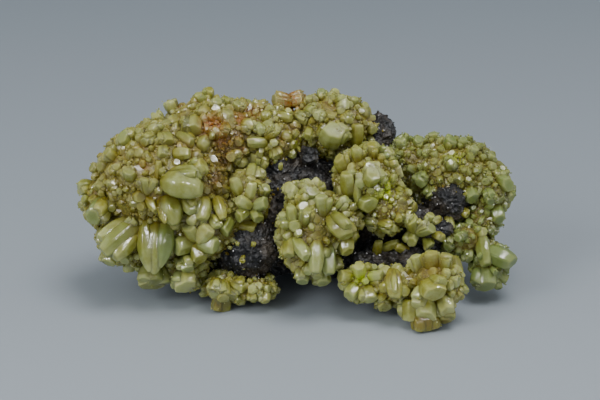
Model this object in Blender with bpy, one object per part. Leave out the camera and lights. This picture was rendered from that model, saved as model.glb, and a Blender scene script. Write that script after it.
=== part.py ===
# A pyromorphite specimen: barrel-shaped hexagonal crystals, grown together in crusts on a dark ironstone matrix.
#
# The specimen is laid out as it is seen from the front. "across" and "up" are millimetres on a plane through
# its middle, square to the line of sight, and "depth" is millimetres behind that plane. A crystal's own depth
# isn't stated: it sits on the lump that carries it.
import math

import bmesh
import bpy
import numpy as np
from mathutils import Matrix, Vector

MM = 0.001

# Driving dimensions, in millimetres and degrees
SIGHT_TILT = 20.0  # the front view looks down by this angle
SIGHT_DISTANCE = 400.0  # from the eye to the view plane
VIEW_POINT = Vector((0.155, 0.543, 14.5))  # where across 0, up 0, depth 0 lies in the frame
GAP = 0.3  # clearance between two pieces that touch
CLEAR_BELOW = 0.4  # least height of anything but the resting crystals over the surface below
ROOM = 50.0  # how far the surface's underside is kept clear each way
FOOT_TOP = 5.0  # height to which a resting crystal runs up into its lump
STOUT = 3.0  # width from which a crystal has a swelling between its root and its tip
SWELL = 1.14
SWELL_AT = 0.12  # from the middle towards the tip, in lengths
UNEVEN = {"crystals": 0.5, "matrix": 0.9}  # how far a lump's surface waves in and out
SLIVER = 0.0005  # vertices nearer to each other than this are merged
KEPT = 0.47  # share of the faces kept where crystals meet
FINEST = 2.0  # crystals narrower than this belong to the fine covering and aren't shaped
STANDS_OUT = 0.15  # how far in front of its lump's surface a placed crystal's middle is, in widths
TIP_SHARE = (0.60, 0.74)  # a crystal's width at its tip, in its width at the root
FLATNESS = (0.86, 1.0)  # a crystal's thickness, in widths
FILL_DENSITY = 26  # places tried on a lump, for each millimetre of its mean half-size
FILL_WIDTHS = (3.0, 4.4)
FILL_LENGTHS = (0.9, 1.3)  # in widths
FILL_LEAN = 0.35  # how far a crystal strays from square to the surface
FILL_SPACING = 1.02  # least distance between two crystals' middles, in their mean widths
OWN_OVERLAP, MATRIX_MARGIN, CRUST_MARGIN = -0.3, 0.8, 1.2  # how near other lumps a crystal may grow
FILL_SEED = 11
FOOT_SEED = 2
MATRIX_SEED = 1

# Lumps that carry everything: across, up, depth, half-width, half-height, half-depth
MATRIX_LUMPS = [
    (-3.0, 3.5, 5.0, 7.0, 6.5, 6.5),
    (-7.2, -7.6, 0.5, 5.2, 5.0, 5.5),
    (-2.8, -2.5, 3.0, 5.0, 8.5, 5.5),
    (-16.0, 2.0, 4.0, 8.0, 5.5, 6.5),
    (6.5, 0.5, 5.5, 8.5, 7.0, 5.5),
    (11.8, 9.3, 6.5, 2.4, 4.0, 4.0),
    (14.5, -4.5, 5.0, 9.0, 5.0, 6.0),
    (21.8, -0.2, 1.2, 3.0, 3.2, 4.2),
    (19.0, -4.2, 0.5, 3.6, 3.0, 4.5),
    (14.0, -9.5, 1.0, 6.5, 3.0, 5.0),
    (1.5, -1.5, 0.5, 4.0, 6.0, 4.0),
    (1.2, 6.8, 0.0, 1.5, 1.4, 2.4),
    (-11.0, -6.8, 11.0, 8.0, 5.5, 5.0),
    (4.0, -7.0, 10.5, 8.0, 5.0, 5.5),
    (-4.0, 5.5, 11.5, 6.5, 4.0, 4.0),
]
CRUST_LUMPS = {
    "left_crust": [
        (-20.5, 3.5, 1.0, 10.6, 9.2, 10.0),
        (-13.0, 9.0, 3.0, 7.8, 6.0, 7.5),
        (-5.0, 9.0, 4.0, 6.5, 5.2, 6.5),
        (4.6, 11.0, 4.5, 6.0, 4.6, 6.0),
        (-28.8, -0.6, 1.0, 3.2, 3.6, 5.0),
        (-23.5, -5.2, 0.0, 6.6, 4.2, 6.0),
        (-14.5, -3.0, -1.0, 5.6, 5.6, 6.0),
        (-8.0, 0.2, -0.5, 3.6, 4.4, 5.0),
        (-17.0, -9.5, -0.5, 2.6, 3.0, 3.6),
    ],
    "low_crust": [
        (-10.6, -13.2, -1.0, 3.6, 1.9, 3.6),
        (-6.6, -13.4, -1.6, 2.8, 1.6, 3.4),
    ],
    "centre_crust": [
        (1.2, -5.0, -5.5, 4.0, 6.4, 4.6),
        (10.0, 3.2, -3.0, 4.6, 4.4, 4.6),
        (5.2, -3.0, -4.5, 3.6, 3.8, 4.4),
        (13.0, -1.0, -2.5, 3.8, 3.4, 4.0),
        (0.8, 0.2, -4.0, 2.6, 2.2, 3.4),
    ],
    "right_crust": [
        (21.8, 3.8, 6.5, 8.4, 5.2, 7.5),
        (16.4, 6.0, 7.0, 4.0, 3.0, 6.0),
        (28.0, 1.4, 5.0, 3.4, 4.0, 5.5),
        (27.0, -3.0, 3.5, 2.6, 3.0, 3.8),
        (24.4, -6.0, 1.5, 3.2, 2.2, 3.6),
        (28.4, -9.2, 1.5, 2.4, 3.0, 3.2),
    ],
    "front_crust": [
        (20.4, -12.6, -8.0, 3.4, 3.4, 4.0),
        (9.4, -12.2, -5.0, 2.6, 2.2, 3.4),
        (14.8, -12.9, -6.0, 4.4, 2.4, 3.8),
    ],
}

# Crystals placed by hand: across, up, width, length, turn, lean.
# Turn is the way the tip points in the front view, anticlockwise from the right. Lean is the angle between the
# crystal and the line of sight: 0 shows its end face, 90 its side.
CRYSTALS = {
    "left_crust": [
        (-19.2, 13.9, 1.9, 2.4, 110, 60),
        (-21.2, 11.9, 2.3, 2.4, 120, 50),
        (-22.6, 11.4, 1.6, 1.9, 150, 65),
        (-21.6, 10.3, 2.4, 2.6, 130, 35),
        (-19.6, 9.2, 2.0, 2.2, 0, 20),
        (-25.8, 8.8, 2.7, 3.0, 135, 50),
        (-27.9, 6.6, 2.3, 2.8, 145, 65),
        (-24.0, 8.9, 1.7, 2.0, 110, 60),
        (-20.6, 7.2, 1.9, 2.1, 270, 40),
        (-18.1, 7.1, 1.8, 2.2, 0, 60),
        (-32.0, 2.0, 2.5, 2.8, 180, 65),
        (-30.3, 4.6, 2.1, 2.4, 160, 65),
        (-29.6, 1.8, 2.0, 2.6, 110, 40),
        (-28.0, 2.2, 2.0, 2.4, 60, 35),
        (-27.3, 4.4, 1.9, 2.2, 110, 40),
        (-25.5, 3.6, 2.4, 2.6, 100, 30),
        (-23.1, 2.0, 1.7, 2.8, 100, 60),
        (-22.2, 2.1, 1.5, 2.4, 60, 60),
        (-21.3, 4.4, 1.2, 2.8, 85, 80),
        (-30.6, -1.3, 3.3, 3.9, 235, 45),
        (-32.0, -0.6, 1.8, 2.4, 190, 65),
        (-28.3, -0.6, 1.8, 2.4, 280, 40),
        (-22.3, -0.6, 1.9, 3.0, 300, 60),
        (-19.5, -1.6, 3.7, 4.2, 290, 40),
        (-18.0, 2.2, 3.4, 5.6, 350, 78),
        (-16.3, 4.3, 2.9, 3.4, 45, 40),
        (-17.2, -0.4, 1.7, 2.0, 20, 50),
        (-27.4, -5.7, 3.3, 5.4, 215, 68),
        (-29.6, -5.4, 1.8, 3.2, 255, 65),
        (-28.5, -8.2, 2.7, 3.0, 262, 65),
        (-26.7, -7.5, 2.3, 2.6, 280, 60),
        (-25.6, -3.8, 1.8, 2.8, 40, 70),
        (-23.1, -6.6, 2.5, 6.2, 262, 72),
        (-20.3, -6.7, 2.7, 5.8, 286, 70),
        (-21.8, -7.8, 2.7, 6.0, 271, 66),
        (-22.2, -11.6, 4.3, 2.8, 272, 68),
        (-23.9, -9.4, 1.7, 2.8, 255, 70),
        (-16.9, -7.2, 2.7, 3.0, 235, 42),
        (-14.3, -7.2, 2.7, 2.9, 300, 42),
        (-13.9, -5.1, 2.7, 2.8, 40, 42),
        (-16.3, -5.3, 2.0, 2.4, 130, 45),
        (-17.0, -9.5, 2.6, 2.5, 280, 50),
        (-17.2, -11.9, 3.7, 2.9, 272, 50),
        (-14.9, 15.0, 2.0, 2.4, 110, 60),
        (-13.6, 15.6, 1.9, 2.4, 85, 65),
        (-15.8, 11.1, 2.5, 2.2, 270, 45),
        (-11.2, 14.4, 1.8, 2.2, 80, 55),
        (-9.4, 13.7, 2.0, 2.2, 80, 50),
        (-7.9, 13.9, 1.9, 2.2, 95, 55),
        (-6.3, 13.6, 1.9, 2.0, 60, 55),
        (-7.9, 11.3, 2.3, 2.6, 0, 15),
        (-6.0, 10.8, 2.0, 2.2, 300, 30),
        (-11.2, 10.6, 1.8, 2.2, 270, 40),
        (-6.6, 8.6, 1.7, 2.6, 180, 75),
        (-4.1, 10.1, 1.9, 2.7, 45, 70),
        (-3.7, 7.3, 1.7, 2.2, 285, 60),
        (-1.8, 14.9, 2.4, 4.8, 2, 85),
        (-2.6, 12.5, 1.9, 2.9, 350, 72),
        (-16.9, 9.2, 2.0, 2.4, 200, 50),
        (-14.4, 8.6, 2.2, 2.4, 240, 45),
        (-7.6, 5.4, 2.0, 3.4, 265, 55),
        (-6.1, 5.2, 2.0, 3.4, 290, 55),
        (-9.0, 1.8, 1.9, 2.8, 95, 60),
        (-10.6, 1.5, 1.9, 2.3, 115, 55),
        (-7.2, 1.5, 1.6, 2.5, 75, 60),
        (-5.4, 1.3, 1.9, 2.1, 60, 40),
        (-6.6, -0.8, 2.2, 2.3, 20, 40),
        (-8.5, -1.4, 2.2, 2.4, 210, 35),
        (-12.0, -0.6, 2.1, 3.0, 290, 60),
        (-14.0, -1.2, 2.7, 3.6, 255, 50),
        (-15.6, -2.4, 2.1, 2.8, 240, 60),
        (-12.8, -2.5, 1.7, 2.2, 295, 60),
        (-10.4, -2.0, 1.8, 2.5, 240, 60),
        (-8.5, -4.0, 2.0, 3.0, 0, 70),
        (-6.8, -3.7, 1.7, 2.0, 340, 50),
        (-10.7, -4.2, 1.9, 2.3, 200, 60),
        (3.2, 15.4, 2.2, 2.4, 92, 60),
        (5.1, 15.6, 1.8, 2.0, 70, 60),
        (1.7, 14.7, 1.8, 2.1, 105, 55),
        (1.6, 13.4, 2.0, 2.2, 0, 20),
        (6.3, 14.2, 2.4, 2.5, 20, 25),
        (7.8, 14.5, 1.9, 2.2, 60, 55),
        (9.3, 13.7, 1.8, 2.1, 50, 60),
        (3.0, 12.8, 1.9, 2.2, 200, 40),
        (7.1, 12.4, 1.9, 1.9, 300, 40),
        (0.3, 12.2, 1.7, 2.3, 330, 60),
        (5.7, 9.6, 3.1, 4.2, 98, 48),
        (3.4, 10.3, 2.2, 3.2, 85, 60),
        (8.7, 9.7, 2.3, 3.6, 88, 70),
        (10.4, 10.8, 2.1, 2.4, 330, 40),
        (1.4, 10.0, 1.9, 2.2, 250, 40),
    ],
    "low_crust": [
        (-12.4, -13.1, 2.7, 2.0, 262, 55),
        (-9.3, -12.9, 1.8, 2.3, 330, 60),
        (-9.0, -14.8, 1.9, 1.9, 270, 60),
        (-7.1, -14.3, 1.8, 1.8, 280, 55),
        (-5.3, -14.4, 2.0, 2.2, 285, 55),
    ],
    "centre_crust": [
        (6.1, 5.3, 2.3, 3.0, 120, 50),
        (8.6, 6.7, 2.4, 2.6, 110, 45),
        (11.2, 7.1, 2.4, 3.2, 60, 55),
        (13.0, 6.7, 2.0, 2.6, 25, 60),
        (10.8, 5.0, 1.6, 2.3, 0, 75),
        (13.5, 5.3, 1.6, 2.5, 15, 75),
        (7.0, 2.8, 1.9, 3.6, 95, 72),
        (10.1, 2.8, 2.9, 2.9, 0, 20),
        (8.6, 1.0, 1.5, 3.2, 90, 78),
        (9.8, -0.4, 2.9, 2.8, 0, 30),
        (12.3, 3.4, 1.8, 2.2, 310, 50),
        (-0.6, 1.0, 2.4, 2.8, 120, 45),
        (1.0, 0.6, 2.4, 2.8, 40, 45),
        (3.5, -0.6, 2.3, 3.3, 100, 50),
        (6.2, -0.6, 2.0, 2.7, 45, 60),
        (-0.6, -2.6, 2.1, 3.4, 105, 60),
        (1.0, -3.0, 2.0, 2.8, 80, 50),
        (-2.1, -3.1, 1.8, 2.8, 120, 60),
        (5.8, -3.6, 3.4, 4.4, 310, 52),
        (6.7, -6.2, 2.7, 3.6, 284, 58),
        (2.4, -8.2, 2.4, 4.8, 262, 62),
        (3.8, -8.4, 2.6, 5.0, 280, 62),
        (0.3, -7.4, 2.5, 3.4, 300, 45),
        (-1.2, -7.0, 2.2, 3.2, 262, 55),
        (1.6, -10.0, 2.0, 2.5, 240, 60),
        (3.5, -11.4, 2.7, 2.4, 278, 62),
        (0.8, -11.8, 1.9, 2.0, 262, 60),
        (5.5, -9.3, 1.8, 2.2, 290, 50),
        (10.6, -3.2, 1.9, 2.6, 355, 65),
        (13.0, -3.8, 2.0, 3.0, 340, 65),
        (14.6, 2.2, 1.9, 2.2, 20, 40),
        (15.9, -2.6, 1.8, 2.3, 0, 50),
    ],
    "right_crust": [
        (15.3, 8.2, 2.2, 2.4, 105, 55),
        (17.7, 8.3, 2.0, 2.2, 80, 50),
        (20.0, 9.0, 2.2, 2.5, 95, 60),
        (22.4, 8.2, 2.3, 2.6, 65, 55),
        (25.7, 7.0, 2.0, 2.5, 60, 60),
        (28.2, 6.2, 2.0, 2.3, 45, 60),
        (28.5, 4.8, 1.9, 2.1, 30, 40),
        (30.4, 2.6, 3.0, 3.2, 335, 48),
        (31.0, 0.8, 1.9, 2.1, 320, 60),
        (25.4, 1.1, 2.7, 3.0, 300, 35),
        (28.3, 0.6, 2.1, 2.6, 285, 42),
        (29.6, -1.5, 2.7, 3.5, 290, 48),
        (23.4, -2.9, 2.2, 2.9, 320, 52),
        (25.4, -3.9, 1.8, 2.1, 90, 50),
        (27.0, -5.2, 2.1, 2.3, 40, 50),
        (22.3, -6.3, 2.0, 2.3, 250, 50),
        (24.2, -5.5, 1.8, 2.0, 200, 40),
        (25.2, -7.9, 2.0, 2.5, 280, 48),
        (27.5, -8.0, 2.2, 3.9, 280, 60),
        (30.2, -8.4, 3.2, 4.4, 340, 68),
        (28.0, -11.6, 3.5, 3.0, 285, 64),
        (18.2, 3.2, 2.4, 2.8, 250, 35),
        (19.4, 1.4, 1.9, 2.6, 275, 52),
        (22.6, 5.2, 2.0, 2.2, 90, 30),
    ],
    "front_crust": [
        (19.9, -13.3, 3.7, 4.0, 300, 20),
        (18.4, -15.0, 3.2, 3.2, 235, 45),
        (21.6, -15.4, 2.9, 3.2, 290, 48),
        (23.5, -11.2, 2.4, 4.5, 275, 72),
        (24.1, -13.0, 2.0, 2.5, 320, 60),
        (21.6, -9.8, 2.3, 3.2, 80, 58),
        (19.6, -9.6, 2.3, 3.2, 100, 55),
        (17.7, -9.8, 1.9, 3.0, 100, 65),
        (14.2, -12.8, 2.5, 4.1, 272, 60),
        (7.4, -11.3, 2.4, 2.6, 180, 50),
        (9.3, -11.4, 2.3, 2.5, 90, 20),
        (11.5, -11.4, 2.3, 2.5, 20, 45),
        (9.9, -13.7, 3.0, 2.6, 270, 50),
        (12.6, -15.3, 2.7, 1.9, 270, 62),
        (16.0, -16.0, 2.5, 3.4, 235, 62),
    ],
}

# Crystals that the specimen rests on: across and away in the frame, then width
FEET = {
    "front_crust": [(18.4, -14.6, 3.6)],
    "low_crust": [(-11.4, -7.4, 2.6)],
}

COLOURS = {
    "matrix": ((0.030, 0.029, 0.033, 1.0), 0.75),
    "left_crust": ((0.30, 0.31, 0.09, 1.0), 0.35),
    "low_crust": ((0.30, 0.31, 0.09, 1.0), 0.35),
    "centre_crust": ((0.30, 0.32, 0.09, 1.0), 0.35),
    "right_crust": ((0.24, 0.28, 0.08, 1.0), 0.35),
    "front_crust": ((0.31, 0.31, 0.09, 1.0), 0.35),
}

TILT = math.radians(SIGHT_TILT)
RIGHT = Vector((1, 0, 0))
UP = Vector((0, math.sin(TILT), math.cos(TILT)))
AWAY = Vector((0, math.cos(TILT), -math.sin(TILT)))
SIGHT_AXES = Matrix((RIGHT, UP, AWAY)).transposed()  # columns: across, up and depth, in the frame
GOLDEN_ANGLE = math.pi * (3 - math.sqrt(5))


def in_frame(across, up, depth):
    """The point seen at across, up that lies at that depth. What is nearer looks bigger."""
    spread = 1 + depth / SIGHT_DISTANCE
    return VIEW_POINT + SIGHT_AXES @ Vector((across * spread, up * spread, depth))


def surface_depth(across, up, lumps):
    """The depth of the nearest lump surface at that place, or of the rim of the nearest lump beside it."""
    covered = []
    nearest = (-math.inf, 0.0)
    for a, u, d, half_width, half_height, half_depth in lumps:
        inside = 1 - ((across - a) / half_width) ** 2 - ((up - u) / half_height) ** 2
        nearest = max(nearest, (inside, d))
        if inside > 0:
            covered.append(d - half_depth * math.sqrt(inside))
    return min(covered) if covered else nearest[1]


def crystal_axis(turn, lean):
    """The way a crystal's tip points, in the frame."""
    turn, lean = math.radians(turn), math.radians(lean)
    seen = Vector((math.sin(lean) * math.cos(turn), math.sin(lean) * math.sin(turn), -math.cos(lean)))
    return SIGHT_AXES @ seen


def placed_crystals(name):
    """(middle, axis, width, length) of each crystal placed by hand on a crust, in the frame."""
    found = []
    for across, up, width, length, turn, lean in CRYSTALS[name]:
        if width < FINEST:
            continue
        depth = surface_depth(across, up, CRUST_LUMPS[name]) - STANDS_OUT * width
        found.append((in_frame(across, up, depth), crystal_axis(turn, lean), width, length))
    return found


def lump_arrays(lumps, grow=0.0):
    """Centres and half-sizes of the lumps, as arrays, in the frame and along the sight axes."""
    centres = np.array([in_frame(*lump[:3]) for lump in lumps])
    halves = np.array([lump[3:] for lump in lumps]) + grow
    return centres, halves


def deepest_inside(points, lumps, grow=0.0):
    """For each point, how far inside the lumps it is: over 0 inside, 0 on the surface."""
    centres, halves = lump_arrays(lumps, grow)
    axes = np.array(SIGHT_AXES)
    local = (points[:, None, :] - centres[None]) @ axes / halves
    return (1 - np.linalg.norm(local, axis=2)).max(axis=1)


def fill_crystals(name, taken, chance):
    """Crystals that cover the rest of a crust, square to its surface and clear of those already there."""
    axes = np.array(SIGHT_AXES)
    others = [lump for crust, lumps in CRUST_LUMPS.items() if crust != name for lump in lumps]
    found = []
    centres, halves = lump_arrays(CRUST_LUMPS[name])
    for centre, half in zip(centres, halves):
        count = int(FILL_DENSITY * (half[0] * half[1] * half[2]) ** (1 / 3))
        step = np.arange(count) + 0.5
        height = 1 - 2 * step / count
        ring = np.sqrt(1 - height**2)
        unit = np.stack([ring * np.cos(GOLDEN_ANGLE * step), ring * np.sin(GOLDEN_ANGLE * step), height], 1)
        points = centre + (unit * half) @ axes.T
        normals = (unit / half) @ axes.T
        normals /= np.linalg.norm(normals, axis=1)[:, None]
        covered = deepest_inside(points, CRUST_LUMPS[name], OWN_OVERLAP) > 0
        covered |= deepest_inside(points, MATRIX_LUMPS, MATRIX_MARGIN) > 0
        covered |= deepest_inside(points, others, CRUST_MARGIN) > 0
        for point, normal, hidden in zip(points, normals, covered):
            width = chance.uniform(*FILL_WIDTHS)
            length = width * chance.uniform(*FILL_LENGTHS)
            axis = (Vector(normal) + FILL_LEAN * Vector(chance.uniform(-1, 1, 3))).normalized()
            reach = 0.5 * (length * abs(axis.z) + width * math.sqrt(1 - axis.z**2))
            if hidden or point[2] - reach < CLEAR_BELOW:
                continue
            crowd = (((Vector(point) - m).length, 0.5 * (width + w)) for m, _, w, _ in taken + found)
            if all(distance > FILL_SPACING * mean for distance, mean in crowd):
                found.append((Vector(point), axis, width, length))
    return found


def new_piece(bm, name, collection):
    """A mesh object made of a bmesh, with its faces out, in a collection."""
    bmesh.ops.recalc_face_normals(bm, faces=bm.faces)
    mesh = bpy.data.meshes.new(name)
    bm.to_mesh(mesh)
    bm.free()
    made = bpy.data.objects.new(name, mesh)
    collection.objects.link(made)
    return made


def barrel(middle, axis, width, length, chance):
    """A six-sided crystal with flat ends, widest at its root. A stout one swells further up as well."""
    tip = chance.uniform(*TIP_SHARE)
    flat = chance.uniform(*FLATNESS)
    bm = bmesh.new()
    bmesh.ops.create_cone(
        bm, cap_ends=True, segments=6, radius1=width / 2, radius2=tip * width / 2, depth=length
    )
    if width >= STOUT:
        sides = [e for e in bm.edges if abs(e.verts[0].co.z - e.verts[1].co.z) > 0.5 * length]
        bmesh.ops.subdivide_edges(bm, edges=sides, cuts=1, use_grid_fill=True)
        for v in bm.verts:
            if abs(v.co.z) < 0.1 * length:
                v.co = Vector((v.co.x * SWELL, v.co.y * SWELL, SWELL_AT * length))
    for v in bm.verts:
        v.co.y *= flat
    spin = Matrix.Rotation(chance.uniform(0, math.pi), 4, "Z")
    place = Matrix.Translation(middle) @ axis.to_track_quat("Z", "Y").to_matrix().to_4x4() @ spin
    bm.transform(Matrix.Scale(MM, 4) @ place)
    return bm


def rounded_lump(lump, grow, uneven_by, chance):
    """A rounded lump with an uneven surface."""
    bm = bmesh.new()
    bmesh.ops.create_icosphere(bm, subdivisions=2, radius=1.0)
    waves = chance.uniform(-math.pi, math.pi, (4, 3))
    centre, half = in_frame(*lump[:3]), Vector(lump[3:])
    for v in bm.verts:
        uneven = sum(math.sin(Vector(w).dot(v.co) + 2.0 * k) for k, w in enumerate(waves)) / 4
        size = Vector([h + grow + uneven_by * uneven for h in half])
        v.co = MM * (centre + SIGHT_AXES @ Vector([c * s for c, s in zip(v.co, size)]))
    return bm


def applied(made, modifier):
    """The object with its one modifier applied."""
    bpy.context.view_layer.update()
    graph = bpy.context.evaluated_depsgraph_get()
    mesh = bpy.data.meshes.new_from_object(made.evaluated_get(graph))
    made.modifiers.remove(modifier)
    made.data = mesh
    return made


def united(target, others):
    """The target with everything in a collection joined to it."""
    modifier = target.modifiers.new("United", "BOOLEAN")
    modifier.operation = "UNION"
    modifier.solver = "EXACT"
    modifier.operand_type = "COLLECTION"
    modifier.collection = others
    applied(target, modifier)
    for used in list(others.objects):
        bpy.data.objects.remove(used)
    keep_outer_shell(target.data)
    return target


def cut(target, cutter):
    """The target without the room that a cutter takes up."""
    modifier = target.modifiers.new("Cut", "BOOLEAN")
    modifier.operation = "DIFFERENCE"
    modifier.solver = "EXACT"
    modifier.object = cutter
    applied(target, modifier)
    bpy.data.objects.remove(cutter)
    keep_outer_shell(target.data)
    return target


def keep_outer_shell(mesh):
    """Drops sealed hollows between crystals, and slivers that came loose."""
    bm = bmesh.new()
    bm.from_mesh(mesh)
    bmesh.ops.remove_doubles(bm, verts=bm.verts, dist=SLIVER * MM)
    left = set(bm.faces)
    shells = []
    while left:
        shell, border = [], [left.pop()]
        while border:
            face = border.pop()
            shell.append(face)
            near = {f for e in face.edges for f in e.link_faces} & left
            left -= near
            border.extend(near)
        shells.append(shell)
    largest = max(shells, key=len)
    bmesh.ops.delete(bm, geom=[f for shell in shells if shell is not largest for f in shell], context="FACES")
    bm.to_mesh(mesh)
    bm.free()


def thinned(made):
    """Leaves out vertices that hardly change the shape."""
    modifier = made.modifiers.new("Thinned", "DECIMATE")
    modifier.ratio = KEPT
    modifier.use_collapse_triangulate = True
    return applied(made, modifier)


def painted(made, name):
    colour, roughness = COLOURS[name]
    material = bpy.data.materials.new(name)
    material.use_nodes = True
    surface = material.node_tree.nodes["Principled BSDF"]
    surface.inputs["Base Color"].default_value = colour
    surface.inputs["Roughness"].default_value = roughness
    surface.inputs["Metallic"].default_value = 0.0
    material.diffuse_color = colour
    made.data.materials.clear()
    made.data.materials.append(material)
    made.data.calc_loop_triangles()
    print(name, len(made.data.loop_triangles), "triangles")
    return made


def stand(crust, name, pieces):
    """Joins the crystals that stand straight down, with their end faces on the surface below."""
    chance = np.random.default_rng(FOOT_SEED)
    for across, away, width in FEET.get(name, []):
        middle = Vector((across, away, FOOT_TOP / 2))
        new_piece(barrel(middle, Vector((0, 0, -1)), width, FOOT_TOP, chance), "foot", pieces)
    if pieces.objects:
        united(crust, pieces)


def joined(name, lumps, crystals, grow, seed, collection, pieces):
    """One solid of lumps and crystals, all grown on every side by the amount given."""
    chance = np.random.default_rng(seed)
    uneven_by = UNEVEN["matrix" if lumps is MATRIX_LUMPS else "crystals"]
    first, *rest = [rounded_lump(lump, grow, uneven_by, chance) for lump in lumps]
    solid = new_piece(first, name, collection)
    for bm in rest:
        new_piece(bm, "lump", pieces)
    for middle, axis, width, length in crystals:
        bm = barrel(middle, axis, width + 2 * grow, length + 2 * grow, chance)
        new_piece(bm, "crystal", pieces)
    return united(solid, pieces)


def room_below(collection):
    """The room under the resting surface, where the matrix is broken off flat."""
    bm = bmesh.new()
    bmesh.ops.create_cube(bm, size=2 * ROOM * MM)
    bm.transform(Matrix.Translation((0, 0, -ROOM * MM)))
    return new_piece(bm, "room", collection)


def build():
    for old in list(bpy.data.objects):
        bpy.data.objects.remove(old)
    collection = bpy.data.collections.new("pyromorphite_specimen")
    pieces = bpy.data.collections.new("cutters")
    for made in (collection, pieces):
        bpy.context.scene.collection.children.link(made)
    matrix = joined("matrix", MATRIX_LUMPS, [], 0.0, MATRIX_SEED, collection, pieces)
    cut(matrix, room_below(collection))
    painted(matrix, "matrix")
    done = [("matrix", MATRIX_LUMPS, [], MATRIX_SEED)]
    for seed, (name, lumps) in enumerate(CRUST_LUMPS.items(), start=3):
        crystals = placed_crystals(name)
        crystals += fill_crystals(name, crystals, np.random.default_rng(FILL_SEED + seed))
        crust = thinned(joined(name, lumps, crystals, 0.0, seed, collection, pieces))
        stand(crust, name, pieces)
        for other, other_lumps, other_crystals, other_seed in done:
            room = joined("room", other_lumps, other_crystals, GAP, other_seed, collection, pieces)
            cut(crust, room)
        done.append((name, lumps, crystals, seed))
        print(len(crystals), "crystals in", name)
        painted(crust, name)


build()
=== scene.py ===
# Pyromorphite specimen: waxy olive-green barrel crystals in crusts on a black, glinting ironstone matrix.
import math

import bpy
import numpy as np
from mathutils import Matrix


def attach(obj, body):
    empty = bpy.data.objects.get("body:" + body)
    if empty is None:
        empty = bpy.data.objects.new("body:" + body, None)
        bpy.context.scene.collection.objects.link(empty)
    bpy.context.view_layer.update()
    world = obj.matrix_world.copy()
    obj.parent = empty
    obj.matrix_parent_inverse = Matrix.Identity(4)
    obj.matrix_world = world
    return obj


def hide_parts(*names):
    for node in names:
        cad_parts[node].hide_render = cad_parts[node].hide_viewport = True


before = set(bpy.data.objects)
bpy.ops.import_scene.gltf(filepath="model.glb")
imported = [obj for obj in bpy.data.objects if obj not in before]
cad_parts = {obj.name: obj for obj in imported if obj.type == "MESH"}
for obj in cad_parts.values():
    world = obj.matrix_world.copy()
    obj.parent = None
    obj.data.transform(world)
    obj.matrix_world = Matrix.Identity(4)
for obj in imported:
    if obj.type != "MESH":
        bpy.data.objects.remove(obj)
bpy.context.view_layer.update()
mm = 0.001

# How the specimen is laid out. "across" and "up" are mm on a plane through its middle, square to the front
# view, and "depth" is mm behind that plane. A crystal has no depth of its own: it sits on the lump that
# carries it.
sight = dict(tilt=20.0, distance=400.0, point=(0.155, 0.543, 14.5))
tilt = math.radians(sight["tilt"])
sightAxes = np.array([
    [1, 0, 0],
    [0, math.sin(tilt), math.cos(tilt)],
    [0, math.cos(tilt), -math.sin(tilt)],
])  # rows: across, up and away, in the frame
goldenAngle = math.pi * (3 - math.sqrt(5))

matrixLumps = [  # across, up, depth, half-width, half-height, half-depth
    (-3.0, 3.5, 5.0, 7.0, 6.5, 6.5),
    (-7.2, -7.6, 0.5, 5.2, 5.0, 5.5),
    (-2.8, -2.5, 3.0, 5.0, 8.5, 5.5),
    (-16.0, 2.0, 4.0, 8.0, 5.5, 6.5),
    (6.5, 0.5, 5.5, 8.5, 7.0, 5.5),
    (11.8, 9.3, 6.5, 2.4, 4.0, 4.0),
    (14.5, -4.5, 5.0, 9.0, 5.0, 6.0),
    (21.8, -0.2, 1.2, 3.0, 3.2, 4.2),
    (19.0, -4.2, 0.5, 3.6, 3.0, 4.5),
    (14.0, -9.5, 1.0, 6.5, 3.0, 5.0),
    (1.5, -1.5, 0.5, 4.0, 6.0, 4.0),
    (1.2, 6.8, 0.0, 1.5, 1.4, 2.4),
    (-11.0, -6.8, 11.0, 8.0, 5.5, 5.0),
    (4.0, -7.0, 10.5, 8.0, 5.0, 5.5),
    (-4.0, 5.5, 11.5, 6.5, 4.0, 4.0),
]

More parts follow.
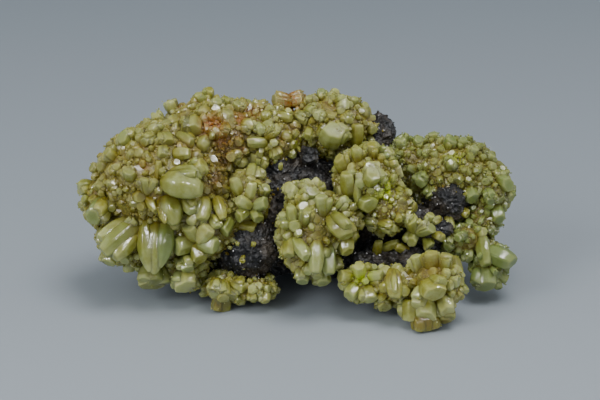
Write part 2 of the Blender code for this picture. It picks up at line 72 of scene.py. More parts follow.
# Each crust: how green it is, how far apart its bunches start and how wide their crystals are, its lumps, and
# its crystals as across, up, width, length, turn, lean. Turn is the way the tip points in the front view,
# anticlockwise from the right. Lean is from the line of sight: 0 shows the end face, 90 the side. Where there
# are more numbers: how many crystals grow along its flanks, and how wide its tip and its root are next to its
# middle. The feet are crystals that stand on the floor or just above it: x, y and z in the frame, width,
# length, lean towards the front from straight down, and how many grow along their flanks.
leftCrust = dict(
    slot="pyromorphite",
    green=0.30,
    bunch=dict(apart=2.05, width=(1.3, 3.0)),
    lumps=[
        (-20.1, 2.9, 1.0, 10.2, 8.5, 10.0),
        (-13.0, 9.0, 3.0, 7.8, 6.0, 7.5),
        (-5.0, 9.0, 4.0, 6.5, 5.2, 6.5),
        (4.6, 11.0, 4.5, 6.0, 4.6, 6.0),
        (-28.8, -0.6, 1.0, 3.2, 3.6, 5.0),
        (-23.5, -5.2, 0.0, 6.6, 4.2, 6.0),
        (-14.5, -3.0, -1.0, 5.6, 5.6, 6.0),
        (-8.0, 0.2, -0.5, 3.6, 4.4, 5.0),
        (-17.0, -9.5, -0.5, 2.6, 3.0, 3.6),
    ],
    crystals=[
        (-19.2, 13.9, 1.9, 2.4, 110, 60),
        (-21.2, 11.9, 2.3, 2.4, 120, 50),
        (-22.6, 11.4, 1.6, 1.9, 150, 65),
        (-21.6, 10.3, 2.6, 2.8, 130, 40),
        (-20.0, 9.2, 2.4, 2.8, 300, 35),
        (-22.6, 9.0, 2.2, 2.6, 210, 45),
        (-25.8, 8.8, 2.7, 3.0, 135, 50, 5, 0.9, 0.6),
        (-27.9, 6.6, 2.3, 2.8, 145, 65),
        (-24.0, 8.9, 1.7, 2.0, 110, 60),
        (-20.6, 7.2, 1.9, 2.1, 270, 40),
        (-17.8, 7.0, 2.4, 2.8, 0, 66, 0, 0.7, 0.6),
        (-17.3, 9.1, 2.3, 3.0, 330, 60, 1, 0.7, 0.6),
        (-32.0, 2.0, 2.5, 2.8, 180, 65),
        (-30.3, 4.6, 2.1, 2.4, 160, 65),
        (-29.6, 1.8, 2.2, 2.6, 110, 40),
        (-28.0, 2.2, 2.0, 2.4, 60, 35),
        (-27.3, 4.4, 1.9, 2.2, 110, 40),
        (-25.5, 3.6, 2.4, 2.6, 100, 30),
        (-23.1, 2.0, 1.7, 2.8, 100, 60),
        (-22.2, 2.1, 1.5, 2.4, 60, 60),
        (-21.3, 4.4, 1.3, 3.0, 85, 80, 0, 0.75, 0.7),
        (-30.2, -1.5, 3.5, 4.0, 235, 45, 4, 0.75, 0.6),
        (-32.0, -0.6, 1.8, 2.4, 190, 65),
        (-28.3, -0.6, 1.8, 2.4, 280, 40),
        (-22.3, -0.6, 1.9, 3.0, 300, 60, 0, 0.5, 0.7),
        (-19.4, -1.6, 4.3, 5.2, 288, 58, 1, 0.2, 0.6),
        (-16.8, -0.7, 2.5, 3.3, 300, 55, 1, 0.6, 0.6),
        (-17.8, 2.2, 4.7, 6.2, 350, 80, 0, 0.45, 0.4),
        (-17.3, 3.9, 3.0, 4.9, 4, 78, 1, 0.7, 0.5),
        (-15.6, 4.5, 3.0, 3.6, 35, 55, 2, 0.8, 0.6),
        (-26.9, -5.5, 3.5, 7.2, 222, 72, 1, 0.62, 0.6),
        (-25.9, -6.7, 3.0, 5.8, 226, 66, 1, 0.62, 0.6),
        (-27.8, -4.4, 2.7, 5.4, 214, 70, 1, 0.62, 0.6),
        (-29.7, -5.2, 1.9, 3.2, 255, 65, 0, 0.7, 0.6),
        (-28.4, -8.2, 2.8, 3.0, 258, 65, 2, 0.85, 0.6),
        (-26.4, -8.0, 2.3, 2.8, 275, 60, 2, 0.8, 0.6),
        (-25.6, -3.8, 1.8, 2.8, 40, 70),
        (-22.9, -6.8, 3.2, 7.9, 276, 80, 0, 0.2, 0.3),
        (-20.6, -6.5, 4.1, 7.6, 263, 78, 0, 0.2, 0.3),
        (-21.7, -7.0, 3.5, 8.2, 269, 82, 0, 0.2, 0.2),
        (-22.2, -11.3, 4.2, 3.4, 270, 74, 5, 0.97, 0.6),
        (-23.9, -9.4, 1.7, 2.8, 255, 70),
        (-17.1, -6.6, 3.1, 3.6, 200, 60, 0, 0.8, 0.5),
        (-15.3, -7.5, 3.1, 3.6, 285, 60, 0, 0.8, 0.5),
        (-14.0, -6.4, 3.0, 3.6, 340, 60, 0, 0.8, 0.5),
        (-14.5, -5.2, 2.9, 3.4, 50, 60, 0, 0.8, 0.5),
        (-16.1, -5.1, 2.6, 3.0, 120, 58, 0, 0.8, 0.5),
        (-17.0, -9.5, 2.6, 2.6, 280, 50),
        (-17.2, -11.9, 3.7, 3.0, 272, 55, 5, 0.92, 0.6),
        (-14.9, 15.0, 2.0, 2.4, 110, 60),
        (-13.6, 15.6, 1.9, 2.4, 85, 65),
        (-12.7, 14.2, 2.1, 2.4, 60, 45),
        (-14.4, 13.4, 2.2, 2.4, 240, 30),
        (-15.9, 11.4, 2.8, 2.8, 270, 50, 3, 0.9, 0.6),
        (-11.2, 14.4, 1.8, 2.2, 80, 55),
        (-9.4, 13.7, 2.0, 2.2, 80, 50),
        (-7.9, 13.9, 1.9, 2.2, 95, 55),
        (-6.3, 13.6, 1.9, 2.0, 60, 55),
        (-7.9, 11.3, 2.5, 2.8, 0, 15),
        (-6.0, 10.8, 2.0, 2.2, 300, 30),
        (-11.2, 10.6, 1.8, 2.2, 270, 40),
        (-6.4, 8.7, 1.9, 3.2, 180, 78, 0, 0.7, 0.7),
        (-4.1, 10.1, 2.0, 2.8, 45, 70),
        (-3.7, 7.3, 1.7, 2.2, 285, 60),
        (-2.6, 14.8, 2.5, 3.0, 170, 70, 3, 0.8, 0.7),
        (-0.7, 14.9, 2.4, 2.8, 10, 65, 3, 0.8, 0.7),
        (-2.6, 12.5, 1.9, 2.9, 350, 72, 0, 0.7, 0.7),
        (-16.9, 9.2, 2.0, 2.4, 200, 50),
        (-14.4, 8.6, 2.4, 2.8, 240, 45),
        (-12.9, 9.9, 2.0, 2.4, 60, 40),
        (-7.9, 5.2, 1.9, 3.6, 118, 60, 2, 0.85, 0.6),
        (-6.8, 5.4, 1.9, 3.8, 90, 60, 2, 0.85, 0.6),
        (-5.7, 5.2, 1.9, 3.6, 62, 60, 2, 0.85, 0.6),
        (-7.2, 4.2, 2.2, 2.8, 260, 50, 2, 0.85, 0.6),
        (-9.4, 1.8, 2.1, 3.4, 115, 64, 0, 0.6, 0.6),
        (-11.0, 1.1, 2.0, 3.2, 135, 62, 0, 0.7, 0.6),
        (-7.4, 1.3, 1.9, 2.9, 75, 66, 0, 0.7, 0.6),
        (-5.4, 1.3, 2.0, 2.3, 60, 40),
        (-6.2, -0.7, 2.2, 2.9, 20, 55, 0, 0.85, 0.5),
        (-8.3, -0.5, 2.1, 2.8, 150, 55, 0, 0.85, 0.5),
        (-8.5, -1.9, 2.2, 2.8, 225, 50, 0, 0.85, 0.5),
        (-6.7, -2.0, 2.1, 2.8, 300, 50, 0, 0.85, 0.5),
        (-12.1, -1.2, 2.2, 3.9, 290, 66, 0, 0.6, 0.6),
        (-14.5, -1.3, 2.9, 3.9, 262, 58, 1, 0.7, 0.6),
        (-15.7, -2.2, 2.3, 3.4, 240, 62, 1, 0.7, 0.6),
        (-12.8, -3.2, 1.9, 2.4, 295, 60),
        (-10.9, -3.9, 2.3, 2.6, 240, 60, 1, 0.9, 0.7),
        (-8.2, -3.8, 2.4, 3.4, 350, 76, 0, 0.85, 0.85),
        (-6.4, -3.7, 1.9, 2.2, 340, 50),
        (3.2, 15.4, 2.2, 2.4, 92, 60),
        (5.1, 15.6, 1.9, 2.0, 70, 60),
        (1.7, 14.7, 1.9, 2.1, 105, 55),
        (1.6, 13.4, 2.1, 2.4, 0, 20),
        (6.3, 14.2, 2.6, 2.6, 20, 25),
        (7.8, 14.5, 2.0, 2.2, 60, 55),
        (9.3, 13.7, 1.8, 2.1, 50, 60),
        (3.0, 12.8, 2.0, 2.2, 200, 40),
        (7.1, 12.4, 2.0, 2.0, 300, 40),
        (0.3, 12.2, 1.9, 2.5, 330, 60),
        (4.8, 9.4, 3.9, 4.2, 70, 34, 1, 0.85, 0.7),
        (5.8, 9.8, 2.9, 3.6, 60, 62),
        (8.5, 9.7, 2.5, 3.6, 88, 72, 0, 0.8, 0.7),
        (10.4, 10.8, 2.1, 2.4, 330, 40),
        (1.4, 10.0, 1.9, 2.2, 250, 40),
    ],
)
lowCrust = dict(
    slot="pyromorphite",
    green=0.15,
    bunch=dict(apart=1.9, width=(1.2, 2.6)),
    lumps=[
        (-10.6, -13.2, -1.0, 3.6, 1.9, 3.6),
        (-6.6, -13.4, -1.6, 2.8, 1.6, 3.4),
    ],
    crystals=[
        (-12.4, -13.1, 2.9, 2.4, 262, 60, 4, 0.92, 0.6),
        (-9.3, -12.9, 1.9, 2.3, 330, 60),
        (-9.0, -14.8, 1.9, 1.9, 270, 60),
        (-7.1, -14.3, 1.8, 1.8, 280, 55),
        (-5.3, -14.4, 2.0, 2.2, 285, 55),
        (-4.2, -13.0, 1.5, 2.0, 330, 60),
    ],
    feet=[(-11.4, -7.4, 1.6, 2.9, 3.18, 0, 4), (-11.2, -8.2, 3.4, 2.4, 3.0, 50, 2)],
)
centreCrust = dict(
    slot="pyromorphite",
    green=0.30,
    bunch=dict(apart=2.1, width=(1.3, 3.0)),
    lumps=[
        (1.2, -5.0, -5.5, 4.0, 6.4, 4.6),
        (10.0, 3.2, -3.0, 4.6, 4.4, 4.6),
        (5.2, -3.0, -4.5, 3.6, 3.8, 4.4),
        (13.0, -1.0, -2.5, 3.8, 3.4, 4.0),
        (0.8, 0.2, -4.0, 2.6, 2.2, 3.4),
    ],
    crystals=[
        (6.4, 5.2, 2.5, 3.2, 120, 55, 1, 0.7, 0.6),
        (8.7, 6.6, 2.4, 2.9, 105, 55),
        (10.7, 7.1, 2.4, 3.2, 85, 58),
        (12.7, 6.6, 2.4, 3.0, 45, 62),
        (10.8, 5.0, 1.7, 2.5, 0, 78, 0, 0.8, 0.8),
        (13.5, 5.3, 1.6, 2.5, 15, 75, 0),
        (7.1, 2.4, 2.4, 3.6, 95, 66, 0, 0.75, 0.7),
        (10.6, 3.4, 3.1, 3.0, 60, 30, 3, 0.85, 0.7),
        (8.6, 1.0, 1.7, 3.2, 90, 78, 0, 0.7, 0.7),
        (9.7, -0.3, 3.1, 3.2, 330, 38, 0, 0.85, 0.7),
        (12.3, 3.4, 1.8, 2.2, 310, 50),
        (-0.9, 1.0, 2.8, 3.2, 130, 50, 2, 0.8, 0.6),
        (1.1, 0.6, 2.6, 3.0, 40, 45),
        (3.3, -1.0, 2.5, 3.7, 95, 60, 2, 0.8, 0.7),
        (6.2, -0.6, 2.2, 2.8, 45, 60),
        (-1.0, -2.8, 2.0, 3.9, 102, 68, 0, 0.7, 0.6),
        (0.9, -2.7, 2.2, 3.0, 80, 55),
        (-2.1, -3.1, 1.8, 2.8, 120, 60),
        (5.9, -3.9, 3.5, 4.4, 305, 60, 2, 0.62, 0.6),
        (6.8, -6.3, 2.9, 3.8, 284, 58, 1, 0.7, 0.6),
        (2.4, -8.3, 2.8, 5.6, 268, 68, 0, 0.6, 0.55),
        (4.1, -8.6, 2.8, 5.4, 276, 68, 0, 0.6, 0.55),
        (0.1, -7.2, 2.7, 4.2, 300, 52, 1, 0.6, 0.6),
        (-1.4, -6.8, 2.4, 3.8, 258, 55, 1, 0.7, 0.6),
        (1.6, -10.0, 2.0, 2.5, 240, 60),
        (3.3, -11.3, 2.7, 2.8, 278, 62, 2, 0.85, 0.6),
        (0.5, -11.1, 2.5, 2.8, 262, 62, 2, 0.85, 0.6),
        (5.5, -9.3, 1.9, 2.4, 290, 50),
        (10.6, -3.2, 2.0, 2.7, 355, 65),
        (13.0, -3.8, 2.2, 3.2, 340, 65),
        (14.6, 2.2, 1.9, 2.2, 20, 40),
        (15.9, -2.6, 1.8, 2.3, 0, 50),
    ],
)
rightCrust = dict(
    slot="green_pyromorphite",
    green=1.0,
    bunch=dict(apart=1.8, width=(1.0, 2.1)),
    lumps=[
        (21.8, 3.8, 6.5, 8.4, 5.2, 7.5),
        (16.4, 6.0, 7.0, 4.0, 3.0, 6.0),
        (28.0, 1.4, 5.0, 3.4, 4.0, 5.5),
        (27.0, -3.0, 3.5, 2.6, 3.0, 3.8),
        (24.4, -6.0, 1.5, 3.2, 2.2, 3.6),
        (28.4, -9.2, 1.5, 2.4, 3.0, 3.2),
    ],
    crystals=[
        (15.3, 8.2, 2.2, 2.4, 105, 55),
        (17.7, 8.3, 2.0, 2.2, 80, 50),
        (20.0, 9.0, 2.2, 2.5, 95, 60),
        (22.4, 8.2, 2.3, 2.6, 65, 55),
        (25.7, 7.0, 2.0, 2.5, 60, 60),
        (28.2, 6.2, 2.0, 2.3, 45, 60),
        (28.5, 4.8, 1.9, 2.1, 30, 40),
        (30.3, 2.7, 2.7, 3.2, 335, 42, 0, 0.85, 0.6),
        (31.0, 0.8, 1.9, 2.1, 320, 60),
        (25.4, 1.1, 2.8, 3.2, 300, 45),
        (28.3, 0.6, 2.2, 2.8, 285, 42),
        (29.3, -1.5, 2.7, 3.9, 290, 55, 2, 0.75, 0.6),
        (23.4, -2.9, 2.3, 3.1, 320, 56, 0, 0.7, 0.6),
        (25.4, -3.9, 1.8, 2.1, 90, 50),
        (27.0, -5.2, 2.1, 2.3, 40, 50),
        (22.3, -6.3, 2.0, 2.3, 250, 50),
        (24.2, -5.5, 1.9, 2.2, 200, 40),
        (25.2, -7.9, 2.1, 2.7, 280, 48),
        (27.6, -7.5, 2.5, 5.0, 278, 70, 0, 0.65, 0.6),
        (30.0, -8.5, 3.5, 4.6, 335, 70, 1, 0.6, 0.7),
        (27.7, -11.6, 3.8, 3.2, 275, 66, 4, 0.9, 0.6),
        (18.2, 3.2, 2.4, 2.8, 250, 35),
        (19.4, 1.4, 1.9, 2.6, 275, 52),
        (22.6, 5.2, 2.0, 2.2, 90, 30),
    ],
)
frontCrust = dict(
    slot="pyromorphite",
    green=0.12,
    bunch=dict(apart=2.1, width=(1.3, 3.0)),
    lumps=[
        (20.4, -12.6, -8.0, 3.4, 3.4, 4.0),
        (9.4, -12.2, -5.0, 2.6, 2.2, 3.4),
        (14.8, -12.9, -6.0, 4.4, 2.4, 3.8),
    ],
    crystals=[
        (19.8, -13.2, 3.9, 4.0, 300, 28, 1, 0.85, 0.7),
        (18.4, -14.9, 3.5, 3.4, 240, 50, 1, 0.8, 0.7),
        (21.7, -15.3, 3.1, 3.6, 285, 55, 1, 0.75, 0.7),
        (23.4, -10.8, 2.4, 4.7, 278, 74, 0, 0.75, 0.7),
        (24.1, -13.0, 2.0, 2.6, 320, 60),
        (21.7, -9.8, 2.4, 3.8, 80, 64, 2, 0.85, 0.6),
        (19.8, -9.5, 2.6, 3.8, 98, 62, 3, 0.85, 0.6),
        (17.8, -9.9, 2.2, 3.6, 108, 66, 1, 0.85, 0.6),
        (14.1, -12.5, 2.8, 4.7, 272, 66, 1, 0.6, 0.55),
        (7.2, -11.5, 2.4, 3.0, 175, 55, 1, 0.85, 0.5),
        (9.0, -10.8, 2.3, 2.8, 100, 50, 1, 0.85, 0.5),
        (11.2, -11.6, 2.4, 3.0, 10, 55, 1, 0.85, 0.5),
        (8.0, -13.4, 2.4, 3.0, 235, 55, 1, 0.85, 0.5),
        (10.3, -13.8, 2.9, 3.0, 285, 55, 2, 0.85, 0.5),
        (12.7, -15.2, 2.7, 2.2, 270, 66, 3, 0.9, 0.6),
        (16.0, -15.8, 2.6, 3.6, 240, 64, 1, 0.7, 0.6),
    ],
    feet=[
        (18.4, -14.6, 1.2, 4.6, 2.38, 0, 2),
        (18.6, -14.9, 3.4, 3.6, 3.6, 55, 1),
        (21.2, -14.0, 2.6, 3.0, 3.4, 30, 2),
        (16.4, -14.2, 2.7, 2.6, 3.2, 25, 2),
    ],
)
crusts = dict(
    left_crust=leftCrust,
    low_crust=lowCrust,
    centre_crust=centreCrust,
    right_crust=rightCrust,
    front_crust=frontCrust,
)
allLumps = [lump for crust in crusts.values() for lump in crust["lumps"]]
typicalHalfMm = 6.0  # turns a share of a lump's half-size into mm, roughly

# Single crystals and small groups that grew on the bare rock
strays = dict(
    slot="pyromorphite",
    green=0.15,
    lumps=matrixLumps,
    sprinkled=dict(tries=2.0, spacing=1.2, width=(0.3, 0.75), reach=0.6),
    crystals=[
        (17.2, -3.9, 2.6, 3.4, 120, 45, 3, 0.85, 0.6),
        (18.7, -4.6, 2.4, 3.0, 20, 50, 3, 0.85, 0.6),
        (17.0, -5.4, 2.2, 2.8, 250, 50, 2, 0.85, 0.6),
        (19.2, -2.9, 1.6, 2.2, 60, 50, 2, 0.85, 0.6),
        (19.2, -6.2, 1.7, 2.2, 300, 50, 2, 0.85, 0.6),
        (20.6, -5.3, 1.6, 2.4, 330, 55, 1, 0.8, 0.6),
        (18.3, -0.4, 1.5, 2.4, 100, 55, 1, 0.8, 0.6),
        (17.0, 0.6, 1.5, 2.2, 150, 55, 1, 0.8, 0.6),
        (24.6, 0.6, 1.4, 2.0, 20, 55, 1, 0.8, 0.6),
        (24.3, -1.8, 1.7, 2.4, 330, 55, 1, 0.8, 0.6),
        (22.3, -3.2, 1.8, 2.6, 280, 55, 1, 0.8, 0.6),
        (20.4, -2.9, 1.3, 2.0, 200, 55, 1, 0.8, 0.6),
        (11.6, -7.4, 1.7, 3.0, 80, 60, 0, 0.7, 0.6),
        (13.4, -6.9, 1.8, 3.2, 20, 70, 0, 0.7, 0.6),
        (15.4, -7.3, 1.6, 2.6, 160, 60, 0, 0.7, 0.6),
        (-2.9, 5.0, 0.8, 1.2, 90, 50, 0, 0.8, 0.7),
        (-3.7, 5.8, 0.7, 0.9, 60, 40, 0, 0.8, 0.7),
        (-9.3, -6.7, 0.8, 1.1, 110, 50, 1, 0.8, 0.7),
        (-10.4, -7.2, 0.7, 0.9, 160, 50, 0, 0.8, 0.7),
        (-8.5, -8.8, 1.1, 1.4, 250, 50, 2, 0.8, 0.7),
        (-8.4, -10.0, 0.7, 0.9, 250, 50, 0, 0.8, 0.7),
        (-7.0, -6.8, 0.8, 1.1, 60, 50, 1, 0.8, 0.7),
        (-12.2, -7.8, 1.1, 1.6, 230, 50, 1, 0.8, 0.7),
        (-12.6, -9.6, 1.3, 1.8, 200, 50, 1, 0.8, 0.7),
        (-4.6, -11.6, 1.2, 1.7, 300, 55, 1, 0.8, 0.7),
        (1.6, 1.8, 1.2, 1.7, 90, 50, 1, 0.8, 0.7),
        (10.6, 9.2, 1.3, 1.7, 300, 50, 1, 0.8, 0.7),
    ],
)

# Patches of colour and of bare ground on the crusts: across, up, radius, strength
stains = dict(
    orange=[
        (-13.2, 11.2, 1.9, 1.0),
        (-11.9, 9.9, 1.4, 0.7),
        (-18.2, 14.3, 0.8, 0.8),
        (-7.0, 13.1, 1.5, 0.9),
        (-9.2, 12.2, 1.2, 0.8),
        (-1.5, 15.1, 2.3, 1.0),
        (-8.9, 7.4, 0.8, 0.7),
        (-23.3, 5.2, 0.9, 0.7),
        (-17.3, 7.8, 1.3, 0.35),
        (10.4, 11.2, 1.1, 0.8),
        (-3.0, 8.8, 1.4, 0.4),
    ],
    brown=[
        (-11.6, 8.3, 1.9, 1.0),
        (-11.4, 6.0, 1.4, 0.9),
        (-12.6, 3.2, 2.0, 1.0),
        (-9.0, 9.6, 1.3, 0.8),
        (-24.2, 7.4, 0.9, 0.9),
        (-0.8, 10.4, 1.3, 0.9),
        (-16.4, -5.0, 1.0, 0.7),
        (10.6, 9.0, 1.4, 0.9),
        (17.6, -3.4, 1.4, 0.8),
        (-14.6, -4.0, 1.2, 0.6),
        (20.1, -10.1, 1.7, 0.55),
    ],
    lime=[
        (-25.9, 8.8, 1.5, 0.4),
        (12.4, 1.6, 1.7, 1.0),
        (9.3, -11.4, 1.3, 0.9),
        (-0.6, 8.9, 1.1, 0.5),
        (23.2, 6.0, 1.3, 0.5),
    ],
    bare=[
        (-13.0, 11.0, 1.2, 1.0),
        (-11.6, 8.3, 1.5, 1.0),
        (-11.2, 5.8, 1.1, 1.0),
        (-12.6, 3.4, 1.5, 1.0),
        (-16.5, 12.3, 0.5, 1.0),
        (-0.8, 10.4, 0.7, 1.0),
        (-25.0, -2.3, 1.3, 1.0),
    ],
)


def toFrame(across, up, depth):
    # The point seen at across, up that lies at that depth. What is nearer looks bigger.
    spread = 1 + np.asarray(depth, float) / sight["distance"]
    seen = np.stack(np.broadcast_arrays(across * spread, up * spread, depth), -1)
    return np.array(sight["point"]) + seen @ sightAxes


def surfaceDepth(across, up, lumps):
    # Depth of the nearest ellipsoid surface at each place: middle depth less half-depth times the root of
    # what is left of 1 once the squared offsets are taken away. Beside every lump it is the nearest lump's
    # own depth.
    a, u, d, w, h, t = np.array(lumps).T
    left = 1 - ((np.asarray(across)[..., None] - a) / w) ** 2 - ((np.asarray(up)[..., None] - u) / h) ** 2
    covered = np.where(left > 0, d - t * np.sqrt(np.maximum(left, 0)), np.inf).min(-1)
    return np.where(np.isfinite(covered), covered, d[left.argmax(-1)])


def insideLumps(points, lumps, grow=0.0):
    # How far inside the lumps each point is, as a share of their half-sizes: over 0 inside, 0 on the surface
    lumps = np.array(lumps)
    centres = toFrame(lumps[:, 0], lumps[:, 1], lumps[:, 2])
    local = (points[:, None] - centres) @ sightAxes.T / (lumps[:, 3:] + grow)
    return (1 - np.linalg.norm(local, axis=2)).max(1)


def unit(vectors):
    return vectors / np.linalg.norm(vectors, axis=-1, keepdims=True)


def stainAt(points, name):
    # Sum over the patches of strength times a bell curve of the distance to the patch's middle on the surface
    across, up, radius, strength = np.array(stains[name]).T
    middles = toFrame(across, up, surfaceDepth(across, up, allLumps))
    distance = np.linalg.norm(points[:, None] - middles, axis=2)
    return np.minimum((strength * np.exp(-((distance / radius) ** 2))).sum(1), 1)


def waves(points, size, count, seed):
    # Smooth unevenness of about -1 to 1: a sum of plane waves in random directions, with that length in mm
    chance = np.random.default_rng(seed)
    ways = unit(chance.normal(size=(count, 3))) * chance.uniform(0.7, 1.4, (count, 1)) * 2 * math.pi / size
    return np.sin(points @ ways.T + chance.uniform(0, 2 * math.pi, count)).sum(1) / math.sqrt(count)


def newPiece(name, points, faces, smooth=True, crisp=None, **values):
    # points in mm, faces as one array of four-cornered faces whose last corner may repeat the third. An edge
    # between two crisp points is sharp. Other values are kept at the points, for the materials to read.
    made = bpy.data.meshes.new(name)
    faces = np.asarray(faces)
    three = faces[:, 3] == faces[:, 2]
    totals = np.where(three, 3, 4)
    corners = faces[np.stack([np.ones_like(three)] * 3 + [~three], 1)]
    made.vertices.add(len(points))
    made.vertices.foreach_set("co", (points * mm).astype(np.float32).ravel())
    made.loops.add(len(corners))
    made.loops.foreach_set("vertex_index", corners.astype(np.int32))
    made.polygons.add(len(faces))
    made.polygons.foreach_set("loop_start", (np.cumsum(totals) - totals).astype(np.int32))
    made.polygons.foreach_set("use_smooth", np.full(len(faces), smooth))
    for key, value in values.items():
        kind = "FLOAT_VECTOR" if value.ndim == 2 else "FLOAT"
        layer = made.attributes.new(key, kind, "POINT")
        layer.data.foreach_set("vector" if value.ndim == 2 else "value", value.astype(np.float32).ravel())
    made.update(calc_edges=True)
    if crisp is not None:
        ends = np.empty(len(made.edges) * 2, np.int32)
        made.edges.foreach_get("vertices", ends)
        made.edges.foreach_set("use_edge_sharp", crisp[ends].reshape(-1, 2).all(1))
    piece = bpy.data.objects.new(name, made)
    bpy.context.scene.collection.objects.link(piece)
    print("made", name, int((totals - 2).sum()), "triangles")
    return piece


def closedFaces(rings, around):
    # Faces of a grid of rings that is closed at both ends: point 0 is the root, the rings follow, and the
    # last point is the tip. The three-cornered faces there repeat their third corner.
    start, step = np.meshgrid(1 + np.arange(rings - 1) * around, np.arange(around), indexing="ij")
    after = (step + 1) % around
    quads = np.stack([start + step, start + after, start + around + after, start + around + step], -1)
    step, after = step[0], after[0]
    last = 1 + (rings - 1) * around
    tip = np.full_like(step, last + around)
    return np.concatenate([
        np.stack([0 * step, 1 + after, 1 + step, 1 + step], 1),
        quads.reshape(-1, 4),
        np.stack([last + step, last + after, tip, tip], 1),
    ])


# How finely a crystal is made. "corners" are the degrees from each of its six edges where a point is set,
# "along" runs from -1 at its root to 1 at its tip, "share" draws the ring in, and "rim" marks the rings round
# the end face, whose edge is painted paler: painted light, standing in for light shining through the thin
# edge. "crispRing" is the ring round the end face, sharp on the "crispEnds" share of the crystals.
# "crispColumns" are the points that bound a flat side, sharp on the "faceted" share.
barrelForms = dict(
    great=dict(
        corners=(-18, -6, 6, 18, 30),
        along=[-0.96, -0.7, -0.35, 0.0, 0.3, 0.55, 0.75, 0.86, 0.93, 0.98, 1.0, 1.01],
        share=[0.9, 1.0, 1.0, 1.0, 1.0, 1.0, 1.0, 1.0, 0.98, 0.92, 0.7, 0.36],
        rim=[0.0, 0.0, 0.0, 0.0, 0.0, 0.1, 0.35, 0.8, 1.0, 0.9, 0.3, 0.0],
        crispRing=9,
        crispEnds=0.7,
        crispColumns=(1, 2),
        faceted=0.85,
    ),
    middling=dict(
        corners=(-10, 10),
        along=[-0.75, -0.1, 0.5, 0.86, 1.0],
        share=[1.0, 1.0, 1.0, 0.99, 0.84],
        rim=[0.0, 0.0, 0.2, 0.8, 0.7],
        crispRing=4,
        crispEnds=0.7,
        crispColumns=(0, 1),
        faceted=0.45,
    ),
    small=dict(corners=(0,), along=[-0.4, 0.6, 1.0], share=[1.0, 1.0, 0.8], rim=[0.0, 0.3, 0.6]),
    speck=dict(corners=(0,), along=[-0.5, 0.7], share=[1.0, 1.0], rim=[0.0, 0.6]),
)

# How crystals differ from one another: the share of a hexagon in the section, the height of two and of three
# waves round it, the power that swells the middle, the slant of the end faces, how flattened they are, and
# the spread of greenness
habit = dict(
    hexagonal=(0.85, 1.0),
    waves=(0.05, 0.04),
    belly=(1.8, 2.8),
    slant=0.22,
    flat=(0.8, 1.0),
    greenSpread=0.22,
)


def crystalMesh(crystals, form, seed):
    # Radius at along t and angle s: half the width, times 1 less a share of |t| to a power, which swells the
    # middle, times a hexagon's own radius mixed with a circle's, times slow waves round the crystal. The end
    # faces slant a little. Root and tip are closed by one point each.
    chance = np.random.default_rng(seed)
    count, around = len(crystals["width"]), 6 * len(form["corners"])
    along = np.array(form["along"])
    share = np.array(form["share"])
    third = math.pi / 3
    angle = (np.arange(6)[:, None] * third + np.radians(form["corners"])).ravel()
    hexagon = math.cos(third / 2) / np.cos(angle % third - third / 2)
    mix = chance.uniform(*habit["hexagonal"], (count, 1, 1))
    section = mix * hexagon + (1 - mix) * 0.95
    phase = chance.uniform(0, 2 * math.pi, (count, 2, 1, 1))
    two, three = habit["waves"]
    section = section * (1 + two * np.sin(2 * angle + phase[:, 0]) + three * np.sin(3 * angle + phase[:, 1]))
    end = np.where(along[:, None] > 0, crystals["tip"][:, None, None], crystals["root"][:, None, None])
    belly = 1 - (1 - end) * np.abs(along[:, None]) ** chance.uniform(*habit["belly"], (count, 1, 1))
    radius = 0.5 * crystals["width"][:, None, None] * belly * share[:, None] * section
    local = np.empty((count, len(along), around, 3))
    local[..., 0] = radius * np.cos(angle)
    local[..., 1] = radius * np.sin(angle) * crystals["flat"][:, None, None]
    slant = chance.uniform(-habit["slant"], habit["slant"], (count, 2, 1, 1)) * np.abs(along[:, None]) ** 3
    half = 0.5 * crystals["length"][:, None, None]
    local[..., 2] = half * along[:, None] + slant[:, 0] * local[..., 0] + slant[:, 1] * local[..., 1]
    ends = np.zeros((count, 2, 3))
    ends[:, 0, 2] = -half[:, 0, 0]
    ends[:, 1, 2] = local[:, -1, :, 2].mean(1)
    points = np.concatenate([ends[:, :1], local.reshape(count, -1, 3), ends[:, 1:]], 1)
    spread = points @ crystals["axes"] + crystals["middle"][:, None]
    spread[..., 2] = np.maximum(spread[..., 2], 0.0)  # nothing goes below the floor
    rings = len(along)
    perCrystal = 2 + rings * around
    faces = closedFaces(rings, around) + np.arange(count)[:, None, None] * perCrystal
    # Where the growth lines are read: mm round the crystal, mm along it, and a number of its own
    grain = np.stack([
        np.arctan2(points[..., 1], points[..., 0]) * 0.5 * crystals["width"][:, None],
        points[..., 2],
        np.broadcast_to(np.arange(count)[:, None] * 7.3, points.shape[:2]),
    ], -1)
    # Rim: where the material paints the end face's edge paler, painted light through the thin edge
    rim = np.concatenate([[0.0], np.repeat(form["rim"], around), [0.0]])
    along = np.concatenate([[-1.0], np.repeat(along, around), [1.0]])
    crisp = np.zeros((count, perCrystal), bool)
    edges = np.isin(np.tile(np.arange(around) % len(form["corners"]), rings), form.get("crispColumns", ()))
    flatSided = (chance.uniform(0, 1, count) < form.get("faceted", 0.0)) & (crystals["tip"] > 0.5)
    crisp[:, 1:-1] = edges & flatSided[:, None]
    if "crispRing" in form:
        first = 1 + form["crispRing"] * around
        crisp[:, first:first + around] |= chance.uniform(0, 1, (count, 1)) < form["crispEnds"]
    values = {key: np.repeat(crystals[key], perCrystal) for key in ("shade", "green")}
    return dict(points=spread.reshape(-1, 3), faces=faces.reshape(-1, 4), grain=grain.reshape(-1, 3),
                rim=np.tile(rim, count), along=np.tile(along, count), crisp=crisp.ravel(), **values)


def joinMeshes(parts):
    # One set of arrays out of several, with the face numbers moved on
    starts = np.cumsum([0] + [len(part["points"]) for part in parts[:-1]])
    out = {key: np.concatenate([part[key] for part in parts]) for key in parts[0] if key != "faces"}
    out["faces"] = np.concatenate([part["faces"] + start for part, start in zip(parts, starts)])
    return out


